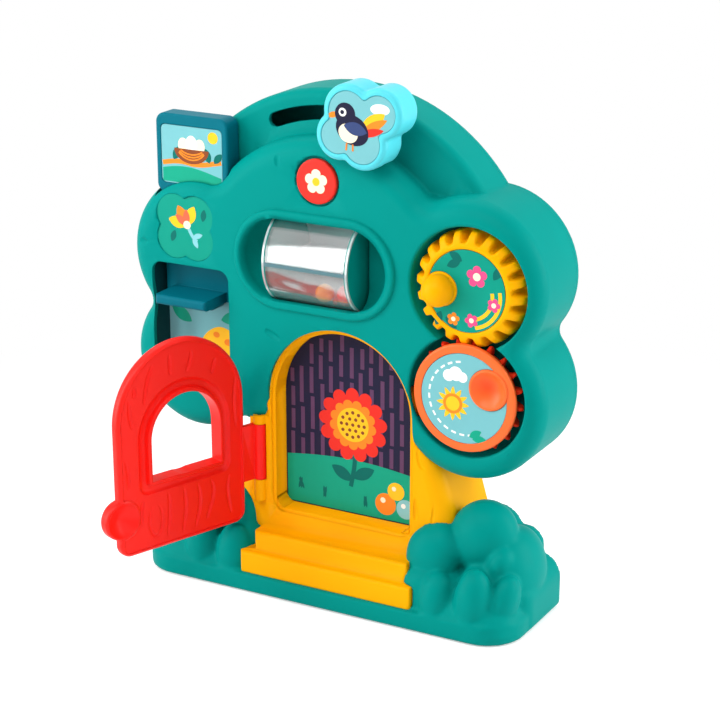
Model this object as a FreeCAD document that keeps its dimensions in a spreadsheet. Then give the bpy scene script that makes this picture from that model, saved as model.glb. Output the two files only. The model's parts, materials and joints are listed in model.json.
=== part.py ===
import FreeCAD, Part
import math
import os
import Sketcher

# Activity tree toy, millimetres. X to the right, Y to the back (the front faces -Y), Z up.
# The origin is on the ground under the middle of the trunk.

SIZES = {
    # moulded shells
    "wall": 2.8, "cover": 3.0, "fit_gap": 0.3, "pin_gap": 0.06,
    # crown, front to back
    "dome_front": -14.5, "case_depth": 51.0, "arch_step": 20.0,
    "front_round": 13.0, "arch_round": 6.0, "notch_round": 9.0, "mouth_round": 2.0,
    "hub_drop": 25.0,
    # crown lobes, clockwise from the doorway: place and radius
    "skirt_x": -64.0, "skirt_z": 120.0, "skirt_r": 17.0,
    "left_low_x": -104.0, "left_low_z": 139.0, "left_low_r": 46.0,
    "left_high_x": -100.0, "left_high_z": 206.0, "left_high_r": 50.0,
    "dome_x": -14.5, "dome_z": 196.0, "dome_r": 93.0,
    "right_high_x": 80.6, "right_high_z": 213.0, "right_high_r": 50.5,
    "right_low_x": 83.0, "right_low_z": 142.5, "right_low_r": 50.0,
    "arch_z": 194.0, "arch_r": 121.0, "arch_skirt": 180.0,
    # doorway in the trunk
    "door_half": 47.0, "frame_border": 3.3, "frame_flange": 5.5, "door_spring": 123.5,
    "door_floor": 50.0, "niche_depth": 14.7, "niche_wall": 2.4, "label_thick": 1.0,
    # trunk
    "trunk_top_half": 57.0, "trunk_foot_half": 90.2, "trunk_round": 12.0,
    # two steps below the sill: height of the lower top, rise to the next, width and reach
    "step_front": -35.0, "step_tread": 7.0, "step_low_top": 26.5, "step_rise": 11.8,
    "step_low_half": 60.0, "step_middle_half": 53.5, "step_round": 2.5,
    "flange_drop": 6.0, "flange_thick": 2.5,
    # base and bushes
    "base_left": -136.0, "base_right": 126.0, "base_front": -38.0, "base_top": 12.5,
    "base_corner": 25.0, "base_round": 2.5, "plate_thick": 2.5, "lump_round": 0.82,
    # door
    "hinge_x": -58.0, "hinge_y": -11.5, "hinge_pin_r": 1.5, "knuckle_r": 4.0,
    "knuckle_bottom": 67.5, "knuckle_top": 104.0, "lug_bottom": 53.0, "lug_top_end": 110.0,
    "pin_short": 2.5,
    "door_thick": 7.5, "door_gap": 1.5, "door_edge_gap": 2.8, "strap_gap": 0.7,
    "door_open": 110.0, "door_corner": 8.0, "door_round": 2.6, "door_foot": 41.0,
    "window_half": 26.0, "window_sill": 86.0, "window_spring": 111.5, "window_shift": -2.0,
    "window_lip": 2.4, "lip_height": 1.2,
    "cup_r": 12.5, "cup_z": 66.0, "cup_inset": 2.3, "cup_rise": 0.6, "cup_depth": 4.5,
    # slider
    "slider_x": -105.0, "card_half": 25.8, "card_front": -9.0, "card_thick": 14.0,
    "card_bottom": 243.0, "card_height": 49.8, "card_corner": 6.0, "card_side": 3.7,
    "card_head": 6.6, "card_round": 1.5, "picture_corner": 3.0, "label_sunk": 0.2,
    "plate_half": 25.5, "plate_front": -2.0, "plate_web": 4.0, "plate_bottom": 176.0,
    "tab_front": -26.5, "tab_half": 18.5, "tab_thick": 6.3, "tab_round": 2.2, "slot_gap": 1.5,
    "slot_bottom": 226.0, "skirt_half": 15.0, "skirt_drop": 5.0, "skirt_front": -8.0,
    "window_x_half": 28.0, "view_bottom": 122.0, "view_top": 200.0, "view_corner": 7.0,
    "view_depth": 18.0, "guide_wall": 2.5, "guide_short": 6.0, "picture_gap": 3.0,
    # leaf recess and badge
    "leaf_x": -108.0, "leaf_z": 224.0, "leaf_r": 13.0, "leaf_spread": 7.5, "leaf_depth": 1.5,
    "leaf_label_thick": 0.8,
    "badge_x": -14.0, "badge_z": 264.0, "badge_r": 13.6, "badge_depth": 2.2, "badge_gap": 1.6,
    "badge_thick": 3.0, "badge_round": 1.0,
    # drum
    "drum_x": -17.5, "drum_y": 4.6, "drum_z": 212.0, "drum_r": 29.2, "drum_length": 58.0,
    "drum_wall": 1.6, "drum_end_wall": 2.0, "drum_axle_r": 1.6, "drum_side_gap": 1.5,
    "drum_clear": 1.0, "bearing_reach": 8.0, "bearing_half": 14.0,
    "opening_x": -16.75, "opening_z": 212.8, "opening_half": 49.8, "opening_r": 25.8,
    "bead_ring": 5.4, "ring_rise": 2.4, "cheek_depth": 15.0, "cheek_round": 11.0,
    "backing_r": 25.5, "backing_front": 4.0, "web_half": 0.8, "sleeve_wall": 1.2,
    # gears
    "gear_x": 85.2, "gear_z": 179.0, "gear_module": 3.25, "gear_teeth": 20,
    "gear_tip": 35.3, "gear_root": 28.3, "gear_back": -2.0,
    "gear_ring": 28.0, "gear_face": -16.0, "gear_pocket_gap": 2.0, "pocket_floor": 1.0,
    "pocket_wall": 1.6, "gear_axle_r": 2.5, "gear_hub_r": 8.0, "axle_hold": 6.0, "axle_end": 1.0,
    "gear_slope": 5.4, "upper_label_r": 24.6, "knob_r": 9.8, "knob_shift": 16.4, "knob_rise": 4.0,
    "disc_face": -17.0, "disc_r": 33.0, "disc_thick": 3.0, "disc_round": 1.4, "spacer_r": 26.0,
    "lower_label_r": 27.5, "wheel_front": -11.0, "wheel_thick": 8.0,
    "backlash": 0.8, "tooth_lean_out": 0.3, "tooth_lean_in": 0.16, "tooth_foot": 1.0,
    "dimple_r": 12.5, "dimple_x": 15.9, "dimple_z": 7.9, "dimple_rise": 1.0, "dimple_depth": 4.5,
    "dimple_rim": 1.6, "dimple_round": 1.0,
    # bird on the curved slot
    "track_rise": 4.0, "track_inset": 18.2, "track_half_angle": 22.4,
    "slot_half": 4.5, "stem_r": 4.0, "bird_angle": 17.0, "bird_front": -24.0,
    "bird_thick": 19.0, "bird_round": 3.0, "bird_rim": 4.0, "bird_clear": 0.6,
    # screws
    "screw_r": 1.5, "screw_head_r": 3.0, "screw_head": 1.6, "screw_length": 12.0, "boss_r": 4.0,
    "base_screw_length": 6.0,
}

# Round leaf lumps of the two bushes: middle across, middle height, radius, front plane.
BUSHES = {
    "right_1": (67.5, 46.5, 16.5, -22.0), "right_2": (84.0, 43.0, 18.0, -10.0),
    "right_3": (77.0, 18.6, 15.8, -31.0), "right_4": (97.0, 27.0, 14.0, -25.0),
    "right_5": (103.0, 38.0, 12.5, -2.0), "right_6": (111.0, 19.0, 15.8, -14.0),
    "left_1": (-68.0, 21.5, 17.0, -27.0), "left_2": (-88.0, 38.0, 17.0, -6.0),
    "left_3": (-103.0, 21.0, 17.5, -25.0), "left_4": (-109.0, 39.0, 15.0, 2.0),
    "left_5": (-119.5, 23.0, 15.5, -12.0), "left_6": (-74.0, 40.0, 12.5, -15.0),
    "right_7": (63.0, 24.0, 14.0, -32.5),
}
FRONT_ROW = ("right_3", "right_4", "right_6", "right_7", "left_1", "left_3", "left_5")
# Travelling bird: four round lobes, clockwise.
BIRD = {
    "head": (12.0, 309.5, 16.5), "wing": (32.0, 310.0, 15.0),
    "tail": (21.0, 292.0, 16.0), "chest": (5.0, 295.0, 14.5),
}
# Beads in the drum: place along it, angle from straight down towards the front, radius.
BEADS = {
    "orange": (-3.0, 8.0, 6.0), "yellow": (-13.0, 34.0, 5.7), "red": (3.2, 40.0, 6.0),
    "small_yellow": (-6.4, 48.0, 2.0), "small_red": (-5.2, 27.0, 2.2),
}
CROWN_SCREWS = {
    "top_left": (-60.0, 268.0), "top_right": (48.0, 250.0), "middle_left": (-62.0, 150.0),
    "middle_right": (52.0, 179.0), "low_left": (-118.0, 103.5), "low_right": (99.0, 103.5),
}
TRUNK_SCREWS = {
    "foot_left": (-65.0, 30.0), "foot_right": (65.0, 30.0),
    "neck_left": (-57.0, 88.0), "neck_right": (57.0, 88.0),
}
BASE_SCREWS = {
    "front_left": (-118.0, -18.0), "front_right": (46.0, -18.0),
    "back_left": (-46.0, 28.0), "back_right": (46.0, 28.0),
}
TABLES = (
    ("bush", BUSHES, ("x", "z", "r", "front")), ("bird", BIRD, ("x", "z", "r")),
    ("bead", BEADS, ("x", "angle", "r")), ("crown_screw", CROWN_SCREWS, ("x", "z")),
    ("trunk_screw", TRUNK_SCREWS, ("x", "z")), ("base_screw", BASE_SCREWS, ("x", "y")),
)
for table, rows, parts in TABLES:
    for key, numbers in rows.items():
        SIZES.update(zip([f"{table}_{key}_{part}" for part in parts], numbers))

doc = FreeCAD.newDocument("activity_tree_toy")
sheet = doc.addObject("Spreadsheet::Sheet", "Sizes")
for row, (alias, number) in enumerate(SIZES.items(), start=1):
    sheet.set(f"A{row}", alias)
    sheet.set(f"B{row}", str(number))
    sheet.setAlias(f"B{row}", alias)
doc.recompute()


class Size:
    """A length from the sheet: its number now, and the expression that keeps it bound."""

    def __init__(self, number, text):
        self.number = number
        self.text = text

    def __add__(self, other):
        return Size(self.number + number_of(other), f"({self.text} + {text_of(other)})")

    def __sub__(self, other):
        return Size(self.number - number_of(other), f"({self.text} - {text_of(other)})")

    def __mul__(self, other):
        return Size(self.number * number_of(other), f"({self.text} * {text_of(other)})")

    def __truediv__(self, other):
        return Size(self.number / number_of(other), f"({self.text} / {text_of(other)})")

    def __radd__(self, other):
        return Size(other, str(other)) + self

    def __rsub__(self, other):
        return Size(other, str(other)) - self

    def __rmul__(self, other):
        return Size(other, str(other)) * self

    def __neg__(self):
        return Size(-self.number, f"(-1 * {self.text})")


def number_of(size):
    return size.number if isinstance(size, Size) else size


def text_of(size):
    return size.text if isinstance(size, Size) else str(size)


class Sizes:
    """Every alias of the sheet as a Size."""

    def __getattr__(self, alias):
        return Size(float(sheet.get(alias)), f"Sizes.{alias}")


d = Sizes()
case_back = d.dome_front + d.case_depth
outer_back = case_back + d.cover
arch_front = d.dome_front + d.arch_step
trunk_front = d.dome_front + d.wall
track_x = d.dome_x
track_z = d.arch_z + d.track_rise
track_r = d.arch_r - d.track_inset
crown_door_half = d.door_half + d.frame_border
ABOUT_X_TO_BACK = FreeCAD.Rotation(FreeCAD.Vector(1, 0, 0), -90)
ALONG_X = FreeCAD.Rotation(FreeCAD.Vector(0, 1, 0), 90)
UPRIGHT = FreeCAD.Rotation()
# How far a cutting tool runs past what it cuts, and what a rounding leaves of a height.
PAST = 1.0
LEFT = 0.1


def bind(thing, prop, size):
    if isinstance(size, Size):
        thing.setExpression(prop, size.text)
    else:
        setattr(thing, prop, size)


def place(thing, x, y, z, rotation=UPRIGHT):
    base = FreeCAD.Vector(number_of(x), number_of(y), number_of(z))
    thing.Placement = FreeCAD.Placement(base, rotation)
    for axis, size in zip("xyz", (x, y, z)):
        if isinstance(size, Size):
            thing.setExpression(f".Placement.Base.{axis}", size.text)
    return thing


def box(name, x_pair, y_pair, z_pair):
    block = doc.addObject("Part::Box", name)
    for prop, (low, high) in zip(("Length", "Width", "Height"), (x_pair, y_pair, z_pair)):
        bind(block, prop, high - low)
    return place(block, x_pair[0], y_pair[0], z_pair[0])


def cylinder(name, x, y, z, radius, length, rotation=ABOUT_X_TO_BACK):
    rod = doc.addObject("Part::Cylinder", name)
    bind(rod, "Radius", radius)
    bind(rod, "Height", length)
    return place(rod, x, y, z, rotation)


def cone(name, x, y, z, radius_near, radius_far, length, rotation=ABOUT_X_TO_BACK):
    taper = doc.addObject("Part::Cone", name)
    bind(taper, "Radius1", radius_near)
    bind(taper, "Radius2", radius_far)
    bind(taper, "Height", length)
    return place(taper, x, y, z, rotation)


def ball(name, x, y, z, radius):
    round_piece = doc.addObject("Part::Sphere", name)
    bind(round_piece, "Radius", radius)
    return place(round_piece, x, y, z)


def fuse(name, pieces):
    joined = doc.addObject("Part::MultiFuse", name)
    joined.Shapes = pieces
    joined.Refine = True
    return joined


def cut(name, base, tool):
    result = doc.addObject("Part::Cut", name)
    result.Base = base
    result.Tool = tool if not isinstance(tool, list) else fuse(name + "_tools", tool)
    result.Refine = True
    return result


def common(name, base, tool):
    result = doc.addObject("Part::Common", name)
    result.Base = base
    result.Tool = tool
    result.Refine = True
    return result


def rounded(name, base, radius, wanted):
    """Fillet of one radius on every edge that the test wanted(edge) picks."""
    doc.recompute()
    edges = [i for i, edge in enumerate(base.Shape.Edges, start=1) if wanted(edge)]
    result = doc.addObject("Part::Fillet", name)
    result.Base = base
    result.Edges = [(i, number_of(radius), number_of(radius)) for i in edges]
    return result


def near(value, size, slack=0.01):
    return abs(value - number_of(size)) < slack


def in_plane(edge, axis, size):
    """True when the whole edge lies in the plane where that coordinate has this size."""
    extent = edge.BoundBox
    low, high = getattr(extent, axis + "Min"), getattr(extent, axis + "Max")
    return near(low, size, 0.02) and near(high, size, 0.02)


def along(edge, axis):
    """True for a straight edge parallel to that axis."""
    if edge.Curve.TypeId != "Part::GeomLine":
        return False
    return abs(getattr(edge.Curve.Direction, axis)) > 0.999


def is_along_y(edge):
    return along(edge, "y")


def origin_plane(body, role):
    return next(part for part in body.Origin.OriginFeatures if part.Role == role)


def sketch_on(body, name, role, height=0.0):
    """Sketch on one of the body's origin planes, moved along the plane's normal."""
    sketch = body.newObject("Sketcher::SketchObject", name)
    sketch.AttachmentSupport = [(origin_plane(body, role), "")]
    sketch.MapMode = "FlatFace"
    sketch.AttachmentOffset = FreeCAD.Placement(FreeCAD.Vector(0, 0, number_of(height)), UPRIGHT)
    if isinstance(height, Size):
        sketch.setExpression(".AttachmentOffset.Base.z", height.text)
    return sketch


def pin_point(sketch, geometry, position, x, z):
    """Hold one point of the sketch at a bound place."""
    for kind, size in (("DistanceX", x), ("DistanceY", z)):
        item = Sketcher.Constraint(kind, -1, 1, geometry, position, number_of(size))
        index = sketch.addConstraint(item)
        if isinstance(size, Size):
            sketch.setExpression(f"Constraints[{index}]", size.text)


def polygon(sketch, points):
    """Closed outline of straight runs through bound points."""
    vectors = [FreeCAD.Vector(number_of(x), number_of(z), 0) for x, z in points]
    count = len(points)
    for i in range(count):
        sketch.addGeometry(Part.LineSegment(vectors[i], vectors[(i + 1) % count]))
    for i in range(count):
        sketch.addConstraint(Sketcher.Constraint("Coincident", i, 2, (i + 1) % count, 1))
        pin_point(sketch, i, 1, *points[i])


def meeting_point(first, second, hub):
    """Outer crossing of two circles given as (x, z, radius)."""
    (x0, z0, r0), (x1, z1, r1) = first, second
    gap = math.hypot(x1 - x0, z1 - z0)
    reach = (gap * gap + r0 * r0 - r1 * r1) / (2 * gap)
    rise = math.sqrt(max(r0 * r0 - reach * reach, 0.0))
    ux, uz = (x1 - x0) / gap, (z1 - z0) / gap
    ways = [(x0 + ux * reach - s * uz * rise, z0 + uz * reach + s * ux * rise) for s in (1, -1)]
    return max(ways, key=lambda p: math.hypot(p[0] - hub[0], p[1] - hub[1]))


def circle_numbers(lobe):
    return tuple(number_of(size) for size in lobe)


def lobe_arcs(sketch, lobes, joints):
    """One bound arc per lobe, clockwise, from joint to joint."""
    for i, lobe in enumerate(lobes):
        x, z, radius = circle_numbers(lobe)
        start = math.atan2(joints[i + 1][1] - z, joints[i + 1][0] - x)
        stop = math.atan2(joints[i][1] - z, joints[i][0] - x)
        if stop < start:
            stop += 2 * math.pi
        circle = Part.Circle(FreeCAD.Vector(x, z, 0), FreeCAD.Vector(0, 0, 1), radius)
        index = sketch.addGeometry(Part.ArcOfCircle(circle, start, stop))
        pin_point(sketch, index, 3, lobe[0], lobe[1])
        size = sketch.addConstraint(Sketcher.Constraint("Radius", index, radius))
        if isinstance(lobe[2], Size):
            sketch.setExpression(f"Constraints[{size}]", lobe[2].text)


def pad(body, sketch, length, name):
    feature = body.newObject("PartDesign::Pad", name)
    feature.Profile = sketch
    bind(feature, "Length", length)
    return feature


def body_fillet(body, base, radius, wanted, name):
    doc.recompute()
    edges = [f"Edge{i}" for i, edge in enumerate(base.Shape.Edges, start=1) if wanted(edge)]
    feature = body.newObject("PartDesign::Fillet", name)
    feature.Base = (base, edges)
    bind(feature, "Radius", radius)
    return feature


def is_arc_in_front(y):
    return lambda edge: in_plane(edge, "Y", y) and edge.Curve.TypeId != "Part::GeomLine"


def lobed_ring(name, lobes, y_pair, notch, front_round):
    """Slab with a closed outline of lobes, rounded in its notches and along its front edge."""
    body = doc.addObject("PartDesign::Body", name)
    circles = [circle_numbers(lobe) for lobe in lobes]
    hub = [sum(circle[k] for circle in circles) / len(circles) for k in (0, 1)]
    joints = [meeting_point(circles[i - 1], circles[i], hub) for i in range(len(circles))]
    sketch = sketch_on(body, name + "_outline", "XZ_Plane", -y_pair[1])
    lobe_arcs(sketch, lobes, joints + joints[:1])
    for i in range(len(lobes)):
        sketch.addConstraint(Sketcher.Constraint("Coincident", i, 1, (i + 1) % len(lobes), 2))
    slab = pad(body, sketch, y_pair[1] - y_pair[0], name + "_pad")
    if number_of(notch) > 0:
        slab = body_fillet(body, slab, notch, lambda edge: along(edge, "y"), name + "_notches")
    if number_of(front_round) > 0:
        body_fillet(body, slab, front_round, is_arc_in_front(y_pair[0]), name + "_front")
    return body


def crown_lobes(inset):
    names = ("skirt", "left_low", "left_high", "dome", "right_high", "right_low")
    return [(getattr(d, n + "_x"), getattr(d, n + "_z"), getattr(d, n + "_r") - inset) for n in names]


def lobe_at_height(lobe, z, side):
    """Crossing of a lobe's circle with a level line, on its right (1) or left (-1) side."""
    cx, cz, radius = circle_numbers(lobe)
    rise = number_of(z) - cz
    return cx + side * math.sqrt(radius * radius - rise * rise), number_of(z)


def crown_slab(name, inset, y_pair, rounding=True):
    """The crown's outline of six lobes, closed by a level line inside the doorway."""
    body = doc.addObject("PartDesign::Body", name)
    lobes = crown_lobes(inset)
    circles = [circle_numbers(lobe) for lobe in lobes]
    level = d.door_spring + inset
    hub = (number_of(d.dome_x), number_of(d.dome_z - d.hub_drop))
    joints = [lobe_at_height(lobes[0], level, 1)]
    joints += [meeting_point(circles[i], circles[i + 1], hub) for i in range(len(circles) - 1)]
    joints += [lobe_at_height(lobes[-1], level, -1)]
    sketch = sketch_on(body, name + "_outline", "XZ_Plane", -y_pair[1])
    lobe_arcs(sketch, lobes, joints)
    last = len(lobes) - 1
    for i in range(last):
        sketch.addConstraint(Sketcher.Constraint("Coincident", i, 1, i + 1, 2))
    ends = [FreeCAD.Vector(*joints[k], 0) for k in (-1, 0)]
    closing = sketch.addGeometry(Part.LineSegment(*ends))
    sketch.addConstraint(Sketcher.Constraint("Coincident", closing, 1, last, 1))
    sketch.addConstraint(Sketcher.Constraint("Coincident", closing, 2, 0, 2))
    sketch.addConstraint(Sketcher.Constraint("Horizontal", closing))
    index = sketch.addConstraint(Sketcher.Constraint("DistanceY", -1, 1, closing, 1, number_of(level)))
    sketch.setExpression(f"Constraints[{index}]", level.text)
    slab = pad(body, sketch, y_pair[1] - y_pair[0], name + "_pad")
    slab = body_fillet(body, slab, d.notch_round + inset, is_along_y, name + "_notches")
    if rounding:
        radius = d.front_round - inset
        body_fillet(body, slab, radius, lambda edge: in_plane(edge, "Y", y_pair[0]), name + "_front")
    return body


def arch_slab(name, inset, y_pair, rounding=True):
    """The round rim behind the lobes, from the skirt line up."""
    disc = cylinder(name + "_disc", d.dome_x, y_pair[0], d.arch_z, d.arch_r - inset, y_pair[1] - y_pair[0])
    if rounding:
        disc = rounded(name + "_rim", disc, d.arch_round - inset, is_arc_in_front(y_pair[0]))
    reach = d.arch_r + d.wall
    keep = box(name + "_keep", (d.dome_x - reach, d.dome_x + reach),
               (y_pair[0] - d.wall, y_pair[1] + d.wall), (d.arch_skirt, d.arch_z + reach))
    return common(name, disc, keep)


def arch_prism(name, x, half, z_floor, z_spring, y_pair):
    """Upright block with a half-round top."""
    block = box(name + "_block", (x - half, x + half), y_pair, (z_floor, z_spring))
    top = cylinder(name + "_top", x, y_pair[0], z_spring, half, y_pair[1] - y_pair[0])
    return fuse(name, [block, top])


def stadium(name, radius, half, y_pair):
    """Block with two round ends around the drum's opening."""
    middle = half - radius
    length = y_pair[1] - y_pair[0]
    x, z = d.opening_x, d.opening_z
    return fuse(name, [
        box(name + "_bar", (x - middle, x + middle), y_pair, (z - radius, z + radius)),
        cylinder(name + "_left", x - middle, y_pair[0], z, radius, length),
        cylinder(name + "_right", x + middle, y_pair[0], z, radius, length)])


def crown_outer(name, inset=0.0, y_far=None, rounding=True, y_near=None):
    """Whole outside of the crown, or its inside when an inset is given."""
    far = case_back if y_far is None else y_far
    near_dome = d.dome_front + inset if y_near is None else y_near
    near_arch = arch_front + inset if y_near is None else y_near
    return fuse(name, [
        crown_slab(name + "_dome", inset, (near_dome, far), rounding),
        arch_slab(name + "_arch", inset, (near_arch, far), rounding)])


def rounded_window(name, x, half, z_pair, y_pair, corner):
    block = box(name + "_block", (x - half, x + half), y_pair, z_pair)
    return rounded(name, block, corner, lambda edge: along(edge, "y"))


gear_pitch = d.gear_module * d.gear_teeth / 2
gear_heights = {"upper": d.gear_z + gear_pitch, "lower": d.gear_z - gear_pitch}
pocket_r = d.gear_tip + d.gear_pocket_gap


def places(table, keys, parts=("x", "z")):
    """Bound places of a table's rows, by key."""
    return {key: tuple(getattr(d, f"{table}_{key}_{part}") for part in parts) for key in keys}


crown_screws = places("crown_screw", CROWN_SCREWS)
trunk_screws = places("trunk_screw", TRUNK_SCREWS)
base_screws = places("base_screw", BASE_SCREWS, ("x", "y"))


def rods(name, spots, radius, y_pair):
    """One rod along Y at each place: bosses, holes or shanks."""
    return [cylinder(f"{name}_{key}", x, y_pair[0], z, radius, y_pair[1] - y_pair[0])
            for key, (x, z) in spots.items()]


def track_slot(name, y_pair, margin):
    """Curved slot of one width about the track's centre, with round ends."""
    half = d.slot_half + margin
    depth = y_pair[1] - y_pair[0]
    outer = cylinder(name + "_outer", track_x, y_pair[0], track_z, track_r + half, depth)
    inner = cylinder(name + "_inner", track_x, y_pair[0] - PAST, track_z, track_r - half,
                     depth + 2 * PAST)
    band = cut(name + "_band", outer, inner)
    wedge = doc.addObject("PartDesign::Body", name + "_wedge")
    sketch = sketch_on(wedge, name + "_fan", "XZ_Plane", -y_pair[1])
    angle = math.radians(number_of(d.track_half_angle))
    slope = Size(math.tan(angle), f"tan({d.track_half_angle.text} * 1 deg)")
    rise = track_r + 3 * d.slot_half
    polygon(sketch, [(track_x, track_z),
                     (track_x + slope * rise, track_z + rise),
                     (track_x - slope * rise, track_z + rise)])
    pad(wedge, sketch, depth, name + "_fan_pad")
    pieces = [common(name + "_run", band, wedge)]
    for sign, side in ((-1, "left"), (1, "right")):
        sine = Size(math.sin(angle), f"sin({d.track_half_angle.text} * 1 deg)")
        cosine = Size(math.cos(angle), f"cos({d.track_half_angle.text} * 1 deg)")
        pieces.append(cylinder(f"{name}_{side}", track_x + sign * track_r * sine, y_pair[0],
                               track_z + track_r * cosine, half, depth))
    return fuse(name, pieces)


def leaf_outline(name, y_pair, inset):
    """Recess of four petals on the left of the crown."""
    spread = d.leaf_spread
    radius = d.leaf_r - inset
    lobes = [(d.leaf_x - spread, d.leaf_z - spread, radius), (d.leaf_x - spread, d.leaf_z + spread, radius),
             (d.leaf_x + spread, d.leaf_z + spread, radius), (d.leaf_x + spread, d.leaf_z - spread, radius)]
    return lobed_ring(name, lobes, y_pair, 0, 0)


def crown_shell():
    outer = crown_outer("crown_outside")
    hollow = crown_outer("crown_inside", d.wall, case_back + d.wall)
    floor_y = d.pocket_floor
    deep = d.dome_front + d.cheek_depth
    inner_x = d.drum_length / 2 + d.drum_side_gap
    bosses = [cylinder(f"boss_{key}", d.gear_x, d.dome_front, z, pocket_r + d.pocket_wall,
                       floor_y + d.pocket_wall - d.dome_front) for key, z in gear_heights.items()]
    bosses += [cylinder(f"axle_boss_{key}", d.gear_x, floor_y, z, d.gear_hub_r, d.gear_hub_r)
               for key, z in gear_heights.items()]
    bosses.append(stadium("drum_boss", d.opening_r + d.wall, d.opening_half + d.wall,
                          (d.dome_front, deep + d.wall)))
    for sign, side in ((-1, "left"), (1, "right")):
        start = d.drum_x + sign * inner_x
        pair = (start - d.wall, start) if sign < 0 else (start, start + d.wall)
        bosses.append(box(f"bearing_{side}", pair, (d.dome_front + d.wall, d.drum_y + d.bearing_reach),
                          (d.drum_z - d.bearing_half, d.drum_z + d.bearing_half)))
    bosses.append(cylinder("badge_boss", d.badge_x, d.dome_front, d.badge_z,
                           d.badge_r + d.badge_gap + d.wall, d.badge_depth + d.wall))
    bosses += rods("crown_boss", crown_screws, d.boss_r, (d.dome_front, case_back))
    cavity = cut("crown_cavity", hollow, bosses)
    ring = stadium("drum_ring", d.opening_r + d.bead_ring, d.opening_half + d.bead_ring,
                   (d.dome_front - d.ring_rise, d.dome_front + d.wall))
    ring = rounded("drum_ring_round", ring, d.ring_rise - LEFT, is_ring_front)
    body = fuse("crown_solid", [outer, ring])
    shell = cut("crown_hollowed", body, cavity)
    front = d.dome_front - d.ring_rise - PAST
    cheeks = stadium("cheek_pocket", d.opening_r, d.opening_half, (front, deep))
    cheeks = rounded("cheek_pocket_round", cheeks, d.cheek_round, lambda edge: in_plane(edge, "Y", deep))
    openings = [cylinder(f"pocket_{key}", d.gear_x, front, z, pocket_r, floor_y - front)
                for key, z in gear_heights.items()]
    openings += [mouth(f"pocket_mouth_{key}", d.gear_x, z, pocket_r, front)
                 for key, z in gear_heights.items()]
    openings += [cylinder(f"axle_bore_{key}", d.gear_x, front, z, d.gear_axle_r + d.pin_gap,
                          floor_y - front + d.axle_hold)
                 for key, z in gear_heights.items()]
    openings.append(cheeks)
    openings.append(cylinder("drum_room", d.drum_x - inner_x, d.drum_y, d.drum_z, d.drum_r + d.drum_clear,
                             2 * inner_x, ALONG_X))
    openings.append(cylinder("drum_bore", d.drum_x - inner_x - 2 * d.wall, d.drum_y, d.drum_z,
                             d.drum_axle_r + d.pin_gap, 2 * inner_x + 4 * d.wall, ALONG_X))
    openings.append(cylinder("badge_recess", d.badge_x, front, d.badge_z, d.badge_r + d.badge_gap,
                             d.dome_front + d.badge_depth - front))
    openings.append(leaf_outline("leaf_recess", (front, d.dome_front + d.leaf_depth), 0.0))
    openings.append(rounded_window("slider_view", d.slider_x, d.window_x_half, (d.view_bottom, d.view_top),
                                   (front, d.dome_front + d.front_round), d.view_corner))
    slot_half = d.card_half + d.slot_gap
    openings.append(box("slider_slot", (d.slider_x - slot_half, d.slider_x + slot_half),
                        (d.card_front - PAST, arch_front),
                        (d.slot_bottom, d.left_high_z + d.left_high_r + d.front_round)))
    openings.append(arch_prism("crown_doorway", 0.0, crown_door_half, d.door_floor, d.door_spring,
                               (front, outer_back)))
    openings.append(arch_prism("trunk_passage", 0.0, d.door_half + d.frame_flange + d.fit_gap,
                               d.door_spring - d.flange_drop - d.fit_gap, d.door_spring,
                               (trunk_front, trunk_front + d.niche_depth + 2 * d.niche_wall)))
    openings.append(track_slot("bird_slot", (arch_front - PAST, arch_front + 2 * d.wall), 0.0))
    openings += rods("crown_pilot", crown_screws, d.screw_r + d.pin_gap,
                     (case_back - d.screw_length, outer_back))
    return cut("crown_shell", shell, openings)


def is_ring_front(edge):
    return in_plane(edge, "Y", d.dome_front - d.ring_rise)


def mouth(name, x, z, radius, front):
    """What is cut away to round the edge where a round pocket meets the crown's front."""
    depth = d.dome_front + d.mouth_round
    wide = cylinder(name + "_wide", x, front, z, radius + d.mouth_round, depth - front)
    ring = doc.addObject("Part::Torus", name + "_ring")
    bind(ring, "Radius1", radius + d.mouth_round)
    bind(ring, "Radius2", d.mouth_round)
    place(ring, x, depth, z, ABOUT_X_TO_BACK)
    return cut(name, wide, ring)


def counterbored(name, plate, spots):
    through = rods(name + "_through", spots, d.screw_r + d.fit_gap, (case_back - PAST, outer_back + PAST))
    heads = rods(name + "_heads", spots, d.screw_head_r + d.fit_gap,
                 (outer_back - d.screw_head, outer_back + PAST))
    return cut(name, plate, through + heads)


def crown_back_cover():
    outline = crown_outer("crown_cover_outline", 0.0, outer_back, False, case_back)
    return counterbored("crown_back_cover", outline, crown_screws)


def tower(name, inset, y_pair, z_pair, rounding=True):
    """Tapered trunk below the crown, rounded along its two front edges."""
    slope = (d.trunk_foot_half - d.trunk_top_half) / (d.door_spring - d.base_top)
    body = doc.addObject("PartDesign::Body", name)
    sketch = sketch_on(body, name + "_outline", "XZ_Plane", -y_pair[1])
    halves = [d.trunk_foot_half - inset - slope * (z - d.base_top) for z in z_pair]
    polygon(sketch, [(-halves[0], z_pair[0]), (-halves[1], z_pair[1]),
                     (halves[1], z_pair[1]), (halves[0], z_pair[0])])
    slab = pad(body, sketch, y_pair[1] - y_pair[0], name + "_pad")

    def front_side(edge):
        return in_plane(edge, "Y", y_pair[0]) and not along(edge, "x")

    if rounding:
        body_fillet(body, slab, d.trunk_round - inset, front_side, name + "_sides")
    return body


def steps(name, inset, floor_z, with_rounding):
    """Two steps in front of the wall below the doorway, which is their sill."""
    rows = [(d.step_low_half, d.step_front, d.step_low_top),
            (d.step_middle_half, d.step_front + d.step_tread, d.step_low_top + d.step_rise)]
    blocks = []
    for i, (half, front, top) in enumerate(rows):
        block = box(f"{name}_{i}", (inset - half, half - inset), (front + inset, trunk_front + d.wall),
                    (floor_z, top - inset))
        if with_rounding:
            block = rounded(f"{name}_{i}_round", block, d.step_round, step_edge(front, floor_z))
        blocks.append(block)
    return blocks


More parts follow.
